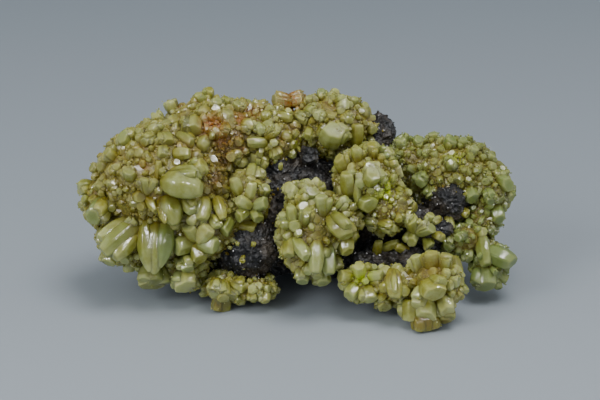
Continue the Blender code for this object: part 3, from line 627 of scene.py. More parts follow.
def crystalSet(middle, axis, width, length, green, seed, tips=(0.55, 0.78)):
    # Arrays that describe crystals: axes holds, for each, two directions across it and the one along it. The
    # tip and the root are as wide as "tips" says, next to the middle.
    chance = np.random.default_rng(seed)
    count = len(width)
    axis = unit(np.asarray(axis, float))
    helper = np.where(np.abs(axis[:, 2:]) < 0.9, [[0.0, 0.0, 1.0]], [[1.0, 0.0, 0.0]])
    side = unit(np.cross(helper, axis))
    other = np.cross(axis, side)
    spin = chance.uniform(0, 2 * math.pi, (count, 1))
    first = side * np.cos(spin) + other * np.sin(spin)
    axes = np.stack([first, np.cross(axis, first), axis], 1)
    return dict(middle=np.asarray(middle), axes=axes, width=np.asarray(width), length=np.asarray(length),
                tip=chance.uniform(*tips, count), root=chance.uniform(*tips, count),
                flat=chance.uniform(*habit["flat"], count), shade=chance.uniform(0, 1, count),
                green=np.clip(green + chance.normal(0, habit["greenSpread"], count), 0, 1))


def joinSets(sets):
    return {key: np.concatenate([one[key] for one in sets]) for key in sets[0]}


def mostlySmall(chance, widths, power, count):
    # Widths between the two given, more of them small the higher the power
    low, high = widths
    return low + (high - low) * chance.uniform(0, 1, count) ** power


def placedCrystals(crust, seed):
    # The listed crystals, each with its middle a quarter of its width in front of the lump that carries
    # it. None is among the darkest.
    rows = np.array([row[:6] for row in crust["crystals"]], float)
    across, up, width, length, turn, lean = rows.T
    turn, lean = np.radians(turn), np.radians(lean)
    seen = np.stack([np.sin(lean) * np.cos(turn), np.sin(lean) * np.sin(turn), -np.cos(lean)], 1)
    middle = toFrame(across, up, surfaceDepth(across, up, crust["lumps"]) - 0.25 * width)
    made = crystalSet(middle, seen @ sightAxes, width, length, crust["green"], seed)
    made["shade"] = 0.3 + 0.65 * made["shade"]
    for i, row in enumerate(crust["crystals"]):
        if len(row) > 8:
            made["tip"][i], made["root"][i] = row[7:9]
    return made


def flankCounts(crust, main, seed):
    # How many smaller crystals go with each listed crystal: as its row says, or else two to four
    chance = np.random.default_rng(seed)
    counts = np.zeros(len(main["width"]), int)
    for i, row in enumerate(crust["crystals"]):
        counts[i] = row[6] if len(row) > 6 else chance.integers(2, 5)
    return counts


def companions(crust, main, counts, seed):
    # Smaller crystals along a larger one's flanks, splayed a little outwards, as in a bundle
    chance = np.random.default_rng(seed)
    owner = np.repeat(np.arange(len(counts)), counts)
    turn = chance.uniform(0, 2 * math.pi, len(owner))
    one, other, along = main["axes"][owner].transpose(1, 0, 2)
    outward = one * np.cos(turn)[:, None] + other * np.sin(turn)[:, None]
    axis = along + outward * np.tan(np.radians(chance.uniform(6, 20, (len(owner), 1))))
    width = main["width"][owner] * chance.uniform(0.5, 0.75, len(owner))
    length = main["length"][owner] * chance.uniform(0.72, 0.98, len(owner))
    middle = (main["middle"][owner] + outward * 0.3 * main["width"][owner][:, None]
              - along * 0.04 * length[:, None])
    made = crystalSet(middle, axis, width, length, crust["green"], seed + 1)
    made["tip"], made["root"] = main["tip"][owner], main["root"][owner]
    made["shade"] = np.clip(main["shade"][owner] + chance.normal(0, 0.15, len(owner)), 0, 1)
    return made


def lumpCandidates(lumps, perSquareMm, seed):
    # Points spread evenly over each ellipsoid on a golden-angle spiral, with the surface's outward direction
    chance = np.random.default_rng(seed)
    points, normals = [], []
    for a, u, d, w, h, t in lumps:
        halves = np.array([w, h, t])
        count = int(perSquareMm * 4 * math.pi * (w * h * t) ** (2 / 3))
        step = np.arange(count) + 0.5
        height = 1 - 2 * step / count
        ring = np.sqrt(1 - height**2)
        ball = np.stack([ring * np.cos(goldenAngle * step), ring * np.sin(goldenAngle * step), height], 1)
        ball = unit(ball + chance.normal(0, 0.6 / math.sqrt(count), ball.shape))
        points.append(toFrame(a, u, d) + ball * halves @ sightAxes)
        normals.append(unit(ball / halves @ sightAxes))
    points, normals = np.concatenate(points), np.concatenate(normals)
    order = chance.permutation(len(points))
    return points[order], normals[order]


def clearOfCapsules(points, reach, crystals):
    # True where a point is further than its reach from every crystal. A crystal counts as a rounded bar that
    # runs from 0.3 of its length below its middle to 0.45 above it, with 0.42 of its width as its radius.
    start = crystals["middle"] - crystals["axes"][:, 2] * crystals["length"][:, None] * 0.3
    along = crystals["axes"][:, 2] * crystals["length"][:, None] * 0.75
    offset = points[:, None] - start
    share = np.clip((offset * along).sum(2) / (along**2).sum(1), 0, 1)
    distance = np.linalg.norm(offset - share[..., None] * along, axis=2) - 0.42 * crystals["width"]
    return distance.min(1) > reach


# A bunch: how many crystals, the degrees by which they lean outwards, the lean of the one in its middle,
# their length next to their width, and how many mm they reach past its own height. It starts as far below
# the surface as "sunk" says, next to the distance between bunches.
bunching = dict(
    crystals=(4, 5, 6),
    lean=(18, 52),
    middleLean=8.0,
    slender=(1.3, 2.1),
    reach=(-0.3, 0.9),
    sunk=0.6,
    tips=(0.6, 0.88),
)


def rosettes(name, crust, around, seed):
    # Crystals in spreading bunches that grow into one another: each bunch starts at a point below the crust's
    # surface, and its crystals lean out from there. Slow waves make some bunches stand higher.
    rule = crust["bunch"]
    chance = np.random.default_rng(seed)
    points, _ = lumpCandidates(crust["lumps"], 1.5, seed)
    points = points[allowed(name, crust, points, 0.5, 0.4)]
    points = points[spacedOut(points, np.full(len(points), rule["apart"]), 1.0)]
    raised = 0.45 * waves(points, 6.0, 10, seed + 5) + chance.uniform(-0.3, 0.5, len(points))
    points, raised = points[raised > -1.1], np.clip(raised[raised > -1.1], -0.5, 1.1)
    normals = surfaceNormals(points, crust["lumps"])
    counts = chance.integers(bunching["crystals"][0], bunching["crystals"][-1] + 1, len(points))
    owner = np.repeat(np.arange(len(points)), counts)
    order = np.concatenate([np.arange(count) for count in counts])
    turn = order * goldenAngle + np.repeat(chance.uniform(0, 2 * math.pi, len(points)), counts)
    lean = np.where(order == 0, bunching["middleLean"], chance.uniform(*bunching["lean"], len(owner)))
    lean = np.radians(lean)
    helper = unit(np.cross(normals, [[0.3, 0.5, 0.81]]))
    other = np.cross(normals, helper)
    outward = helper[owner] * np.cos(turn)[:, None] + other[owner] * np.sin(turn)[:, None]
    axis = normals[owner] * np.cos(lean)[:, None] + outward * np.sin(lean)[:, None]
    width = mostlySmall(chance, rule["width"], 1.3, len(owner))
    length = width * chance.uniform(*bunching["slender"], len(owner))
    sunk = rule["apart"] * bunching["sunk"]
    reach = sunk / np.cos(lean) ** 0.6 + chance.uniform(*bunching["reach"], len(owner)) + raised[owner]
    middle = points[owner] - normals[owner] * sunk + axis * (reach - 0.5 * length)[:, None]
    tips = middle + axis * 0.5 * length[:, None]
    keep = allowed(name, crust, tips, 0.15, 0.4, 0.1) & clearOfCapsules(tips, 0.05 * width, around)
    keep &= (tips[:, 2] - 0.5 * width > 0.15) & (middle[:, 2] - 0.6 * width > 0.15)
    made = crystalSet(middle[keep], axis[keep], width[keep], length[keep], crust["green"], seed + 1,
                      bunching["tips"])
    own = chance.uniform(0, 1, len(points))[owner[keep]]
    made["shade"] = np.clip(0.5 * own + 0.6 * made["shade"] - 0.05, 0, 1)
    return made


def allowed(name, crust, points, rim, bare, proud=0.02):
    # Where a crust's crystals may grow: on its own outer surface, off the rock, the other crusts and the bare
    # patches
    others = [lump for key, other in crusts.items() if key != name for lump in other["lumps"]]
    keep = insideLumps(points, crust["lumps"]) < proud
    keep &= insideLumps(points, matrixLumps, rim) < 0
    keep &= insideLumps(points, others, 0.2) < 0
    return keep & (stainAt(points, "bare") < bare)


def surfaceNormals(points, lumps):
    # Outward direction of the ellipsoid whose surface is nearest
    lumps = np.array(lumps)
    centres = toFrame(lumps[:, 0], lumps[:, 1], lumps[:, 2])
    local = (points[:, None] - centres) @ sightAxes.T / lumps[:, 3:]
    best = np.abs(np.linalg.norm(local, axis=2) - 1).argmin(1)
    chosen = local[np.arange(len(points)), best] / lumps[best, 3:]
    return unit(chosen @ sightAxes)


def spacedOut(points, width, spacing):
    # Which points stay when each must keep its distance from those before it
    taken = np.zeros(len(points), bool)
    for i in range(len(points)):
        rivals = np.flatnonzero(taken[:i])
        gap = np.linalg.norm(points[rivals] - points[i], axis=1)
        taken[i] = not (gap < spacing * 0.5 * (width[rivals] + width[i])).any()
    return taken


def scattered(name, crust, around, rule, seed):
    # A pass of crystals over a crust: points are taken in random order while they keep their distance
    chance = np.random.default_rng(seed)
    points, normals = lumpCandidates(crust["lumps"], rule["tries"], seed)
    keep = allowed(name, crust, points, rule["rim"], rule["bare"])
    points, normals = points[keep], normals[keep]
    width = mostlySmall(chance, rule["width"], 1.3, len(points))
    length = width * chance.uniform(*rule["length"], len(points))
    axis = unit(normals + rule["lean"] * chance.normal(0, 1, points.shape))
    keep = points[:, 2] - 0.5 * length * np.abs(axis[:, 2]) - 0.4 * width > 0.15
    keep &= clearOfCapsules(points, rule["clear"] * width, around)
    points, axis, width, length = points[keep], axis[keep], width[keep], length[keep]
    taken = spacedOut(points, width, rule["spacing"])
    return crystalSet(points[taken] + axis[taken] * rule["lift"] * length[taken][:, None], axis[taken],
                      width[taken], length[taken], crust["green"], seed + 1)


# The two passes. Length is next to width, lean is how far the axis strays, spacing is next to the mean width
# of two neighbours, tries are per square mm, rim is how far they keep off the rock, bare is how bare the
# ground may be, lift is next to length, and clear is the gap to larger crystals, next to width.
passes = dict(
    fine=dict(width=(0.9, 1.7), length=(1.3, 1.9), lean=0.5, spacing=0.75, tries=2.5, rim=0.1, bare=0.5,
              lift=-0.12, clear=0.05),
    tiny=dict(width=(0.3, 0.7), length=(1.0, 1.8), lean=0.8, spacing=0.68, tries=11.0, rim=-0.3, bare=2.0,
              lift=0.0, clear=0.1),
)

# Specks of crystal that grew on the middling ones, in patches. They give the crust its many small glints.
frosting = dict(width=(0.14, 0.36), patchMm=3.5, above=-0.2, share=0.15, stray=0.12)


def frosted(crust, surface, seed):
    # Specks at a share of the surface's own points, where slow waves are high
    chance = np.random.default_rng(seed)
    patch = waves(surface, frosting["patchMm"], 10, seed + 1)
    keep = (patch > frosting["above"]) & (chance.uniform(0, 1, len(surface)) < frosting["share"])
    keep &= (surface[:, 2] > 0.5) & (insideLumps(surface, crust["lumps"]) < 0.0)
    points = surface[keep] + chance.normal(0, frosting["stray"], (int(keep.sum()), 3))
    width = mostlySmall(chance, frosting["width"], 1.5, len(points))
    length = width * chance.uniform(0.9, 1.6, len(points))
    return crystalSet(points, chance.normal(0, 1, points.shape), width, length, crust["green"], seed + 2)


def groundMesh(lumps, step, rough, seed):
    # Each lump is an ellipsoid grid of two angles, moved along its normal by a function of the place
    parts = []
    for a, u, d, w, h, t in lumps:
        halves = np.array([w, h, t])
        around = max(24, int(2 * math.pi * halves.max() / step))
        rings = around // 2
        polar = np.linspace(0.02, math.pi - 0.02, rings)[:, None]
        angle = np.arange(around) * 2 * math.pi / around
        ball = np.stack([np.sin(polar) * np.cos(angle), np.sin(polar) * np.sin(angle),
                         np.cos(polar) * np.ones(around)], -1).reshape(-1, 3)
        ball = np.concatenate([[[0, 0, 1.0]], ball, [[0, 0, -1.0]]])
        points = toFrame(a, u, d) + ball * halves @ sightAxes
        normals = unit(ball / halves @ sightAxes)
        points = points + normals * rough(points, seed)[:, None]
        points[:, 2] = np.maximum(points[:, 2], 0.0)
        faces = closedFaces(rings, around)[:, ::-1]
        faces = np.where((faces[:, 0] == faces[:, 1])[:, None], faces[:, [1, 2, 3, 3]], faces)
        parts.append(dict(points=points, faces=faces))
    return joinMeshes(parts)


def druseRough(points, seed):
    # Ground between crystals: level with the lump, with fine unevenness
    return 0.02 + 0.12 * waves(points, 2.2, 12, seed) + 0.07 * waves(points, 0.8, 16, seed + 1)


def knobblyRough(points, seed):
    # Botryoidal ironstone: the highest of many small balls whose middles lie near the surface, and fine grit
    chance = np.random.default_rng(seed)
    seeds, _ = lumpCandidates(matrixLumps, 1.0, seed)
    balls = chance.uniform(0.45, 1.15, len(seeds))
    height = np.zeros(len(points))
    atOnce = 2000
    for start in range(0, len(points), atOnce):
        part = points[start:start + atOnce]
        distance = np.linalg.norm(part[:, None] - seeds, axis=2)
        height[start:start + atOnce] = np.sqrt(np.maximum(balls**2 - distance**2, 0)).max(1)
    grit = 0.16 * waves(points, 0.8, 16, seed + 1)
    return (-0.6 + 0.75 * height + grit + 0.25 * waves(points, 2.4, 14, seed + 3)
            + 0.35 * waves(points, 6.0, 10, seed + 2))


def linear(hexColour):
    parts = [int(hexColour[i:i + 2], 16) / 255 for i in (1, 3, 5)]
    return tuple(p / 12.92 if p <= 0.04045 else ((p + 0.055) / 1.055) ** 2.4 for p in parts) + (1.0,)


def addNode(tree, kind, settings=None, **inputs):
    # One node: settings are its own values, and each input is a value or another node's output. An input is
    # named, or numbered as in i0.
    node = tree.nodes.new(kind)
    for key, value in (settings or {}).items():
        setattr(node, key, value)
    for key, value in inputs.items():
        numbered = key[0] == "i" and key[1:].isdigit()
        socket = node.inputs[int(key[1:]) if numbered else key.replace("_", " ")]
        if isinstance(value, bpy.types.NodeSocket):
            tree.links.new(value, socket)
        else:
            socket.default_value = value
    return node


def newMaterial(name):
    made = bpy.data.materials.new(name)
    made.use_nodes = True
    made.node_tree.nodes.clear()
    return made, made.node_tree


# Pyromorphite is a lead phosphate: a waxy to resinous gloss, a little light passing under the surface,
# greener where it is thick and clean and yellow to brown where iron has stained it. Each relief is a strength
# and a depth in mm.
waxy = dict(
    # deep: the dark end of the random tone, also the painted shade low down between the crystals
    deep="#83741c",
    main="#979436",
    pale="#b9bd78",
    leaf="#6e8446",
    # root: brown of iron stain at the roots, together with painted shade in the hollows between crystals
    root="#7d6318",
    # rim: painted light, a paler end-face edge standing in for light shining through the thin edge
    rim="#c9c886",
    orange="#9b5c0e",
    brown="#84662e",
    lime="#bdd02c",
    ior=1.55,
    roughness=0.10,
    brightRoughness=0.25,
    cloudMm=1.6,
    bandMm=0.28,
    pitMm=0.2,
    wearMm=1.1,
    bandRelief=(0.4, 0.05),
    pitRelief=(0.45, 0.06),
    wearRelief=(0.4, 0.15),
)


def makeWaxy(name, roughness):
    made, tree = newMaterial(name)
    place = addNode(tree, "ShaderNodeTexCoord").outputs["Object"]
    grain = addNode(tree, "ShaderNodeAttribute", dict(attribute_name="grain")).outputs["Vector"]
    keys = ("shade", "green", "rim", "along", "proud", "lime", "brown", "orange")
    read = {}
    for key in keys:
        read[key] = addNode(tree, "ShaderNodeAttribute", dict(attribute_name=key)).outputs["Fac"]
    cloud = addNode(tree, "ShaderNodeTexNoise", Vector=place, Scale=1 / (waxy["cloudMm"] * mm), Detail=3.0,
                    Roughness=0.55).outputs["Fac"]
    pits = addNode(tree, "ShaderNodeTexNoise", Vector=place, Scale=1 / (waxy["pitMm"] * mm),
                   Detail=2.0).outputs["Fac"]
    # Colour: cloudy, each crystal a little lighter or darker and lighter towards its tip, then greener,
    # paler at the rim as painted light through the thin edge, darker low down between crystals as painted
    # shade, browner towards the root as iron stain and painted shade together, and stained in patches
    own = addNode(tree, "ShaderNodeMath", dict(operation="MULTIPLY_ADD"), i0=read["shade"], i1=0.5, i2=-0.25)
    tone = addNode(tree, "ShaderNodeMath", dict(operation="ADD"), i0=cloud, i1=own.outputs[0])
    tone = addNode(tree, "ShaderNodeMath", dict(operation="MULTIPLY_ADD"), i0=read["along"], i1=0.14,
                   i2=tone.outputs[0])
    ramp = addNode(tree, "ShaderNodeValToRGB", Fac=tone.outputs[0])
    ramp.color_ramp.elements.new(0.5)
    for element, at, key in zip(ramp.color_ramp.elements, (0.25, 0.5, 0.8), ("deep", "main", "pale")):
        element.position = at
        element.color = linear(waxy[key])
    greener = addNode(tree, "ShaderNodeMath", dict(operation="MULTIPLY"), i0=read["green"], i1=0.8)
    # Painted light: each end face's edge paler, standing in for light shining through the thin edge
    paler = addNode(tree, "ShaderNodeMath", dict(operation="MULTIPLY"), i0=read["rim"], i1=0.24)
    # Painted shade: darker the lower a point lies between the crystals
    paintedDepthShade = addNode(tree, "ShaderNodeMapRange", Value=read["proud"], i1=1.4, i2=0.1, i3=0.0, i4=0.55)
    # Browner towards the roots: partly iron stain, partly painted shade in the hollows
    rootBrownAndShade = addNode(tree, "ShaderNodeMapRange", Value=read["proud"], i1=0.5, i2=-0.4, i3=0.0, i4=0.75)
    layers = [(greener, "leaf"), (paler, "rim"), (paintedDepthShade, "deep"), (rootBrownAndShade, "root")]
    for key, top in (("lime", 1.0), ("brown", 0.85), ("orange", 0.95)):
        patchy = addNode(tree, "ShaderNodeMapRange", Value=pits, i1=0.38, i2=0.58, i3=0.3 * top, i4=1.5 * top)
        patch = addNode(tree, "ShaderNodeMath", dict(operation="MULTIPLY", use_clamp=True), i0=read[key],
                        i1=patchy.outputs[0])
        layers.append((patch, key))
    colour = ramp.outputs[0]
    for share, key in layers:
        colour = addNode(tree, "ShaderNodeMix", dict(data_type="RGBA"), i0=share.outputs[0], i6=colour,
                         i7=linear(waxy[key])).outputs[2]
    # Relief: growth lines along each crystal, pits, and slow waves that break up the gloss
    stretch = addNode(tree, "ShaderNodeVectorMath", dict(operation="MULTIPLY"), i0=grain,
                      i1=(0.35 / waxy["bandMm"], 1 / waxy["bandMm"], 1.0))
    bands = addNode(tree, "ShaderNodeTexNoise", Vector=stretch.outputs[0], Scale=1.0,
                    Detail=2.0).outputs["Fac"]
    wear = addNode(tree, "ShaderNodeTexNoise", Vector=place, Scale=1 / (waxy["wearMm"] * mm),
                   Detail=1.0).outputs["Fac"]
    normal = {}
    for height, key in ((bands, "bandRelief"), (pits, "pitRelief"), (wear, "wearRelief")):
        strength, deep = waxy[key]
        bump = addNode(tree, "ShaderNodeBump", Strength=strength, Distance=deep * mm, Height=height, **normal)
        normal = dict(Normal=bump.outputs[0])
    gloss = addNode(tree, "ShaderNodeMapRange", Value=cloud, i1=0.3, i2=0.7, i3=roughness - 0.05,
                    i4=roughness + 0.06)
    gloss = addNode(tree, "ShaderNodeMath", dict(operation="MULTIPLY_ADD"), i0=read["orange"], i1=0.2,
                    i2=gloss.outputs[0])
    surface = addNode(tree, "ShaderNodeBsdfPrincipled", dict(subsurface_method="RANDOM_WALK"),
                      Base_Color=colour, Roughness=gloss.outputs[0], IOR=waxy["ior"],
                      Subsurface_Weight=0.6, Subsurface_Radius=(0.9, 1.0, 0.4), Subsurface_Scale=1.1 * mm,
                      Transmission_Weight=0.2, **normal)
    addNode(tree, "ShaderNodeOutputMaterial", Surface=surface.outputs[0])
    return made


# Druse ground: a skin of crystals too fine to tell apart, stained by iron between the larger ones
druse = dict(
    dark="#544d1a",
    light="#8d8834",
    rust="#6c5420",
    brown="#745a2b",
    orange="#935a12",
    grainMm=0.3,
    patchMm=4.0,
    grainRelief=(1.0, 0.2),
    roughness=0.35,
    gridMm=0.56,
)


def makeDruse():
    made, tree = newMaterial("ironStainedDruse")
    place = addNode(tree, "ShaderNodeTexCoord").outputs["Object"]
    fine = addNode(tree, "ShaderNodeTexNoise", Vector=place, Scale=1 / (druse["grainMm"] * mm),
                   Detail=3.0).outputs["Fac"]
    broad = addNode(tree, "ShaderNodeTexNoise", Vector=place, Scale=1 / (druse["patchMm"] * mm),
                    Detail=2.0).outputs["Fac"]
    paler = addNode(tree, "ShaderNodeMapRange", Value=fine, i1=0.35, i2=0.65)
    rusty = addNode(tree, "ShaderNodeMapRange", Value=broad, i1=0.45, i2=0.7, i3=0.0, i4=0.7)
    layers = [(paler.outputs[0], "light"), (rusty.outputs[0], "rust")]
    for key in ("brown", "orange"):
        layers.append((addNode(tree, "ShaderNodeAttribute", dict(attribute_name=key)).outputs["Fac"], key))
    colour = linear(druse["dark"])
    for share, key in layers:
        colour = addNode(tree, "ShaderNodeMix", dict(data_type="RGBA"), i0=share, i6=colour,
                         i7=linear(druse[key])).outputs[2]
    strength, deep = druse["grainRelief"]
    bump = addNode(tree, "ShaderNodeBump", Strength=strength, Distance=deep * mm, Height=fine)
    surface = addNode(tree, "ShaderNodeBsdfPrincipled", Base_Color=colour, Roughness=druse["roughness"],
                      Normal=bump.outputs[0])
    addNode(tree, "ShaderNodeOutputMaterial", Surface=surface.outputs[0])
    return made


# Ironstone with manganese oxide: near black, dull between glinting faces, dusted brown in places. Dull and
# glinting are each a roughness and an IOR.
ironstone = dict(
    black="#09090b",
    blue="#17181d",
    dust="#3b3124",
    gritMm=0.4,
    dustMm=3.5,
    cellMm=0.5,
    cellRelief=(0.9, 0.2),
    dull=(0.6, 1.5),
    glinting=(0.28, 1.9),
)


def makeIronstone(name, roughness, ior):
    made, tree = newMaterial(name)
    place = addNode(tree, "ShaderNodeTexCoord").outputs["Object"]
    grit = addNode(tree, "ShaderNodeTexNoise", Vector=place, Scale=1 / (ironstone["gritMm"] * mm), Detail=3.0)
    broad = addNode(tree, "ShaderNodeTexNoise", Vector=place, Scale=1 / (ironstone["dustMm"] * mm),
                    Detail=3.0).outputs["Fac"]
    dust = addNode(tree, "ShaderNodeMapRange", Value=broad, i1=0.44, i2=0.62, i3=0.0, i4=0.85)
    colour = linear(ironstone["black"])
    for share, key in ((grit.outputs["Fac"], "blue"), (dust.outputs[0], "dust")):
        colour = addNode(tree, "ShaderNodeMix", dict(data_type="RGBA"), i0=share, i6=colour,
                         i7=linear(ironstone[key])).outputs[2]
    cells = addNode(tree, "ShaderNodeTexVoronoi", Vector=place,
                    Scale=1 / (ironstone["cellMm"] * mm)).outputs["Distance"]
    strength, deep = ironstone["cellRelief"]
    bump = addNode(tree, "ShaderNodeBump", Strength=strength, Distance=deep * mm, Height=cells)
    surface = addNode(tree, "ShaderNodeBsdfPrincipled", Base_Color=colour, Roughness=roughness, IOR=ior,
                      Normal=bump.outputs[0])
    addNode(tree, "ShaderNodeOutputMaterial", Surface=surface.outputs[0])
    return made


def finishPiece(piece, material, slotName, *nodes):
    piece.data.materials.append(material)
    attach(piece, "root")
    if nodes:
        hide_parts(*nodes)


def crystalPiece(name, meshes, crust, material, smooth=True, dustAndShade=0.0):
    # One piece of many crystals. Its last number counts it as lying that much lower, so more of it takes the
    # brown of its root and the painted shade of the hollows.
    joined = joinMeshes(meshes)
    values = {key: stainAt(joined["points"], key) for key in ("orange", "brown", "lime")}
    # About how many mm above the crust's surface; the material paints shade and root brown where it is low.
    # What is near the floor counts as clear of it, so no painted shade darkens it there.
    proud = -typicalHalfMm * insideLumps(joined["points"], crust["lumps"]) - dustAndShade
    values["proud"] = np.maximum(proud, 1.6 - 0.5 * joined["points"][:, 2])
    points, faces, crisp = joined.pop("points"), joined.pop("faces"), joined.pop("crisp")
    piece = newPiece(name, points, faces, smooth, crisp, **joined, **values)
    finishPiece(piece, material, crust["slot"])


def makeCrust(name, crust, seed, materials):
    # A crust's ground, its large crystals with those on their flanks, the bunches between, and the fine ones
    ground = groundMesh(crust["lumps"], druse["gridMm"], druseRough, seed)
    stainValues = {key: stainAt(ground["points"], key) for key in ("orange", "brown")}
    piece = newPiece(name + "_ground", ground["points"], ground["faces"], True, **stainValues)
    finishPiece(piece, materials["druse"], crust["slot"], name)
    main = placedCrystals(crust, seed)
    counts = flankCounts(crust, main, seed)
    if "feet" in crust:
        feet = np.array(crust["feet"])
        lean = np.radians(feet[:, 5])
        down = np.stack([0 * lean, -np.sin(lean), -np.cos(lean)], 1)
        stood = crystalSet(feet[:, :3], down, feet[:, 3], feet[:, 4], crust["green"], seed, (0.84, 0.94))
        main = joinSets([main, stood])
        counts = np.concatenate([counts, feet[:, 6].astype(int)])
    beside = companions(crust, main, counts, seed + 10)
    own = joinSets([main, beside])
    bunches = rosettes(name, crust, own, seed + 20)
    around = joinSets([own, bunches])
    fine = scattered(name, crust, around, passes["fine"], seed + 30)
    around = joinSets([around, fine])
    tiny = scattered(name, crust, around, passes["tiny"], seed + 40)
    counted = dict(placed=main, beside=beside, bunched=bunches, fine=fine, tiny=tiny)
    print(name, {key: len(one["width"]) for key, one in counted.items()})
    great = [
        crystalMesh(main, barrelForms["great"], seed),
        crystalMesh(beside, barrelForms["middling"], seed),
    ]
    middling = [crystalMesh(bunches, barrelForms["middling"], seed + 1)]
    specks = frosted(crust, joinMeshes(great[1:] + middling)["points"], seed + 50)
    small = [
        crystalMesh(fine, barrelForms["small"], seed + 2),
        crystalMesh(tiny, barrelForms["small"], seed + 3),
        crystalMesh(specks, barrelForms["speck"], seed + 4),
    ]
    crystalPiece(name + "_large", great, crust, materials["waxy"])
    crystalPiece(name + "_bunches", middling, crust, materials["waxy"])
    crystalPiece(name + "_fine", small, crust, materials["bright"], smooth=False)


rock = dict(gridMm=0.52, glintsPerSquareMm=1.25, glintWidth=(0.2, 0.5))


def makeMatrix(materials):
    ground = groundMesh(matrixLumps, rock["gridMm"], knobblyRough, 71)
    piece = newPiece("matrix_rock", ground["points"], ground["faces"], False)
    finishPiece(piece, materials["ironstone"], "ironstone", "matrix")
    # Glinting grains all over the rock that the crusts leave bare
    chance = np.random.default_rng(72)
    points, normals = lumpCandidates(matrixLumps, rock["glintsPerSquareMm"], 73)
    keep = (insideLumps(points, matrixLumps) < 0.02) & (insideLumps(points, allLumps, -0.3) < 0)
    keep &= points[:, 2] > 0.5
    points, normals = points[keep], normals[keep]
    points = points + normals * (knobblyRough(points, 71)[:, None] + 0.02)
    width = chance.uniform(*rock["glintWidth"], len(points))
    way = normals + chance.normal(0, 0.9, points.shape)
    grains = crystalSet(points, way, width, width, 0.0, 74, (0.6, 0.9))
    made = crystalMesh(grains, barrelForms["speck"], 75)
    piece = newPiece("matrix_glints", made["points"], made["faces"], False)
    finishPiece(piece, materials["glints"], "ironstone")
    # Crystals on the rock: those listed, and a sprinkling that thins out away from the crusts
    main = placedCrystals(strays, 76)
    beside = companions(strays, main, flankCounts(strays, main, 77), 77)
    rule = strays["sprinkled"]
    points, normals = lumpCandidates(matrixLumps, rule["tries"], 78)
    near = insideLumps(points, allLumps) * typicalHalfMm
    keep = (insideLumps(points, matrixLumps) < 0.02) & (near < 0) & (points[:, 2] > 1.0)
    keep &= chance.uniform(0, 1, len(points)) < np.exp(near / rule["reach"])
    points, normals = points[keep], normals[keep]
    width = mostlySmall(chance, rule["width"], 1.5, len(points))
    keep = spacedOut(points, width, rule["spacing"])
    points, normals, width = points[keep], normals[keep], width[keep]
    lift = knobblyRough(points, 71)[:, None]
    few = crystalSet(points + normals * lift, normals + chance.normal(0, 0.5, points.shape), width,
                     width * chance.uniform(1.0, 1.6, len(width)), strays["green"], 79)
    meshes = [crystalMesh(main, barrelForms["great"], 80), crystalMesh(beside, barrelForms["middling"], 81)]
    crystalPiece("matrix_crystals", meshes, strays, materials["waxy"], dustAndShade=-1.0)
    sprinkled = [crystalMesh(few, barrelForms["small"], 82)]
    crystalPiece("matrix_sprinkling", sprinkled, strays, materials["bright"], smooth=False, dustAndShade=0.8)
    print("matrix", len(grains["width"]), "glints", len(few["width"]), "sprinkled")


materials = dict(
    waxy=makeWaxy("waxyPyromorphite", waxy["roughness"]),
    bright=makeWaxy("brightPyromorphite", waxy["brightRoughness"]),
    druse=makeDruse(),
    ironstone=makeIronstone("dullIronstone", *ironstone["dull"]),
    glints=makeIronstone("glintingIronstone", *ironstone["glinting"]),
)
makeMatrix(materials)
for number, (name, crust) in enumerate(crusts.items()):
    makeCrust(name, crust, 100 * (number + 1), materials)
print("specimen made")

# Studio: one sheet, flat under the specimen and curved up behind it, its colour darker from near to far as
# painted shade of light falling off towards the back, two soft lights that light the body and four small
# windows that show as glints alone. Lengths are in metres, but for the height in mm that the lights aim at.
studio = dict(
    near="#9ea6ad",
    # far: the sheet's colour at the back, darker as painted shade of light falling off
    far="#717b84",
    paintedFalloff=(-0.12, 0.25),
    reach=1.6,
    flat=0.5,
    bend=0.5,
    aimMm=15,
    key=dict(at=(0.10, -0.07, 0.50), size=0.30, watts=1.6, shines="body"),
    side=dict(at=(-0.36, -0.34, 0.32), size=0.28, watts=1.5, shines="body"),
    windowAbove=dict(at=(0.07, -0.20, 0.46), size=0.09, watts=1.9, shines="gloss"),
    windowFront=dict(at=(0.16, -0.38, 0.36), size=0.06, watts=1.0, shines="gloss"),
    windowLeft=dict(at=(-0.32, -0.24, 0.36), size=0.07, watts=1.1, shines="gloss"),
    windowRight=dict(at=(0.34, -0.10, 0.40), size=0.06, watts=0.9, shines="gloss"),
    sky=dict(colour="#d4d6d8", strength=1.05),
)


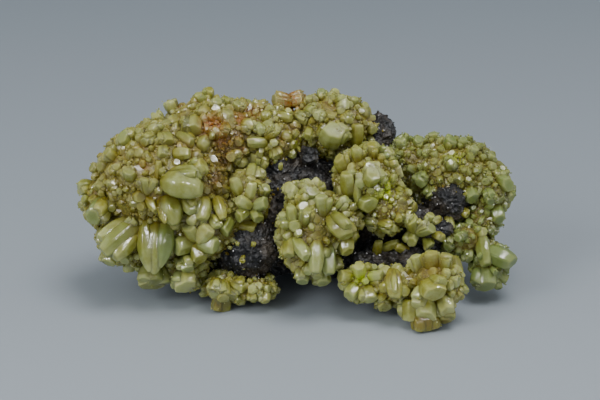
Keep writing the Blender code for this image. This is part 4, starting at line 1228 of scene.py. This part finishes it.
def makeBackdrop():
    # A profile carried sideways: flat, then a quarter circle, then upright
    turn = np.linspace(0, math.pi / 2, 24)
    bent = studio["flat"] + studio["bend"] * np.sin(turn)
    away = np.concatenate([[-studio["reach"]], bent, [studio["flat"] + studio["bend"]]])
    height = np.concatenate([[0.0], studio["bend"] * (1 - np.cos(turn)), [studio["reach"]]])
    wide = np.array([-studio["reach"], studio["reach"]])
    points = np.stack([np.tile(wide, len(away)), np.repeat(away, 2), np.repeat(height, 2)], 1)
    start = np.arange(len(away) - 1)[:, None] * 2
    piece = newPiece("backdrop", points / mm, start + np.array([[0, 1, 3, 2]]))
    made, tree = newMaterial("matteSheet")
    # Near to far along the sheet: painted shade, standing in for light falling off towards the back
    place = addNode(tree, "ShaderNodeSeparateXYZ",
                    Vector=addNode(tree, "ShaderNodeTexCoord").outputs["Object"]).outputs["Y"]
    share = addNode(tree, "ShaderNodeMapRange", Value=place, i1=studio["paintedFalloff"][0], i2=studio["paintedFalloff"][1])
    colour = addNode(tree, "ShaderNodeMix", dict(data_type="RGBA"), i0=share.outputs[0],
                     i6=linear(studio["near"]), i7=linear(studio["far"]))
    surface = addNode(tree, "ShaderNodeBsdfPrincipled", Base_Color=colour.outputs[2], Roughness=0.6)
    addNode(tree, "ShaderNodeOutputMaterial", Surface=surface.outputs[0])
    piece.data.materials.append(made)


def aimed(made, target):
    # Turned so that its own downward axis points at the target
    way = target - np.array(made.location)
    flat = math.hypot(way[0], way[1])
    made.rotation_euler = (math.atan2(flat, -way[2]), 0, math.atan2(-way[0], way[1]))


def addLight(name, at, size, watts, shines):
    lamp = bpy.data.lights.new(name, "AREA")
    lamp.shape = "DISK"
    lamp.size = size
    lamp.energy = watts
    made = bpy.data.objects.new(name, lamp)
    made.location = at
    aimed(made, np.array([0, 0, studio["aimMm"] * mm]))
    made.visible_diffuse = shines == "body"
    made.visible_transmission = shines == "body"
    made.visible_glossy = shines == "gloss"
    bpy.context.scene.collection.objects.link(made)


makeBackdrop()
for lightName in ("key", "side", "windowAbove", "windowFront", "windowLeft", "windowRight"):
    addLight(lightName + "Light", **studio[lightName])
sky = bpy.data.worlds.new("softSky")
sky.use_nodes = True
sky.node_tree.nodes["Background"].inputs["Color"].default_value = linear(studio["sky"]["colour"])
sky.node_tree.nodes["Background"].inputs["Strength"].default_value = studio["sky"]["strength"]
bpy.context.scene.world = sky

camera = dict(sensor=36.0, fieldMm=90.0)
lens = bpy.data.cameras.new("frontView")
lens.sensor_width = camera["sensor"]
lens.lens = camera["sensor"] * sight["distance"] / camera["fieldMm"]
lens.clip_start = 0.01
eye = bpy.data.objects.new("frontView", lens)
eye.location = (np.array(sight["point"]) - sightAxes[2] * sight["distance"]) * mm
eye.rotation_euler = (math.pi / 2 - tilt, 0, 0)
bpy.context.scene.collection.objects.link(eye)
bpy.context.scene.camera = eye
print("studio made")
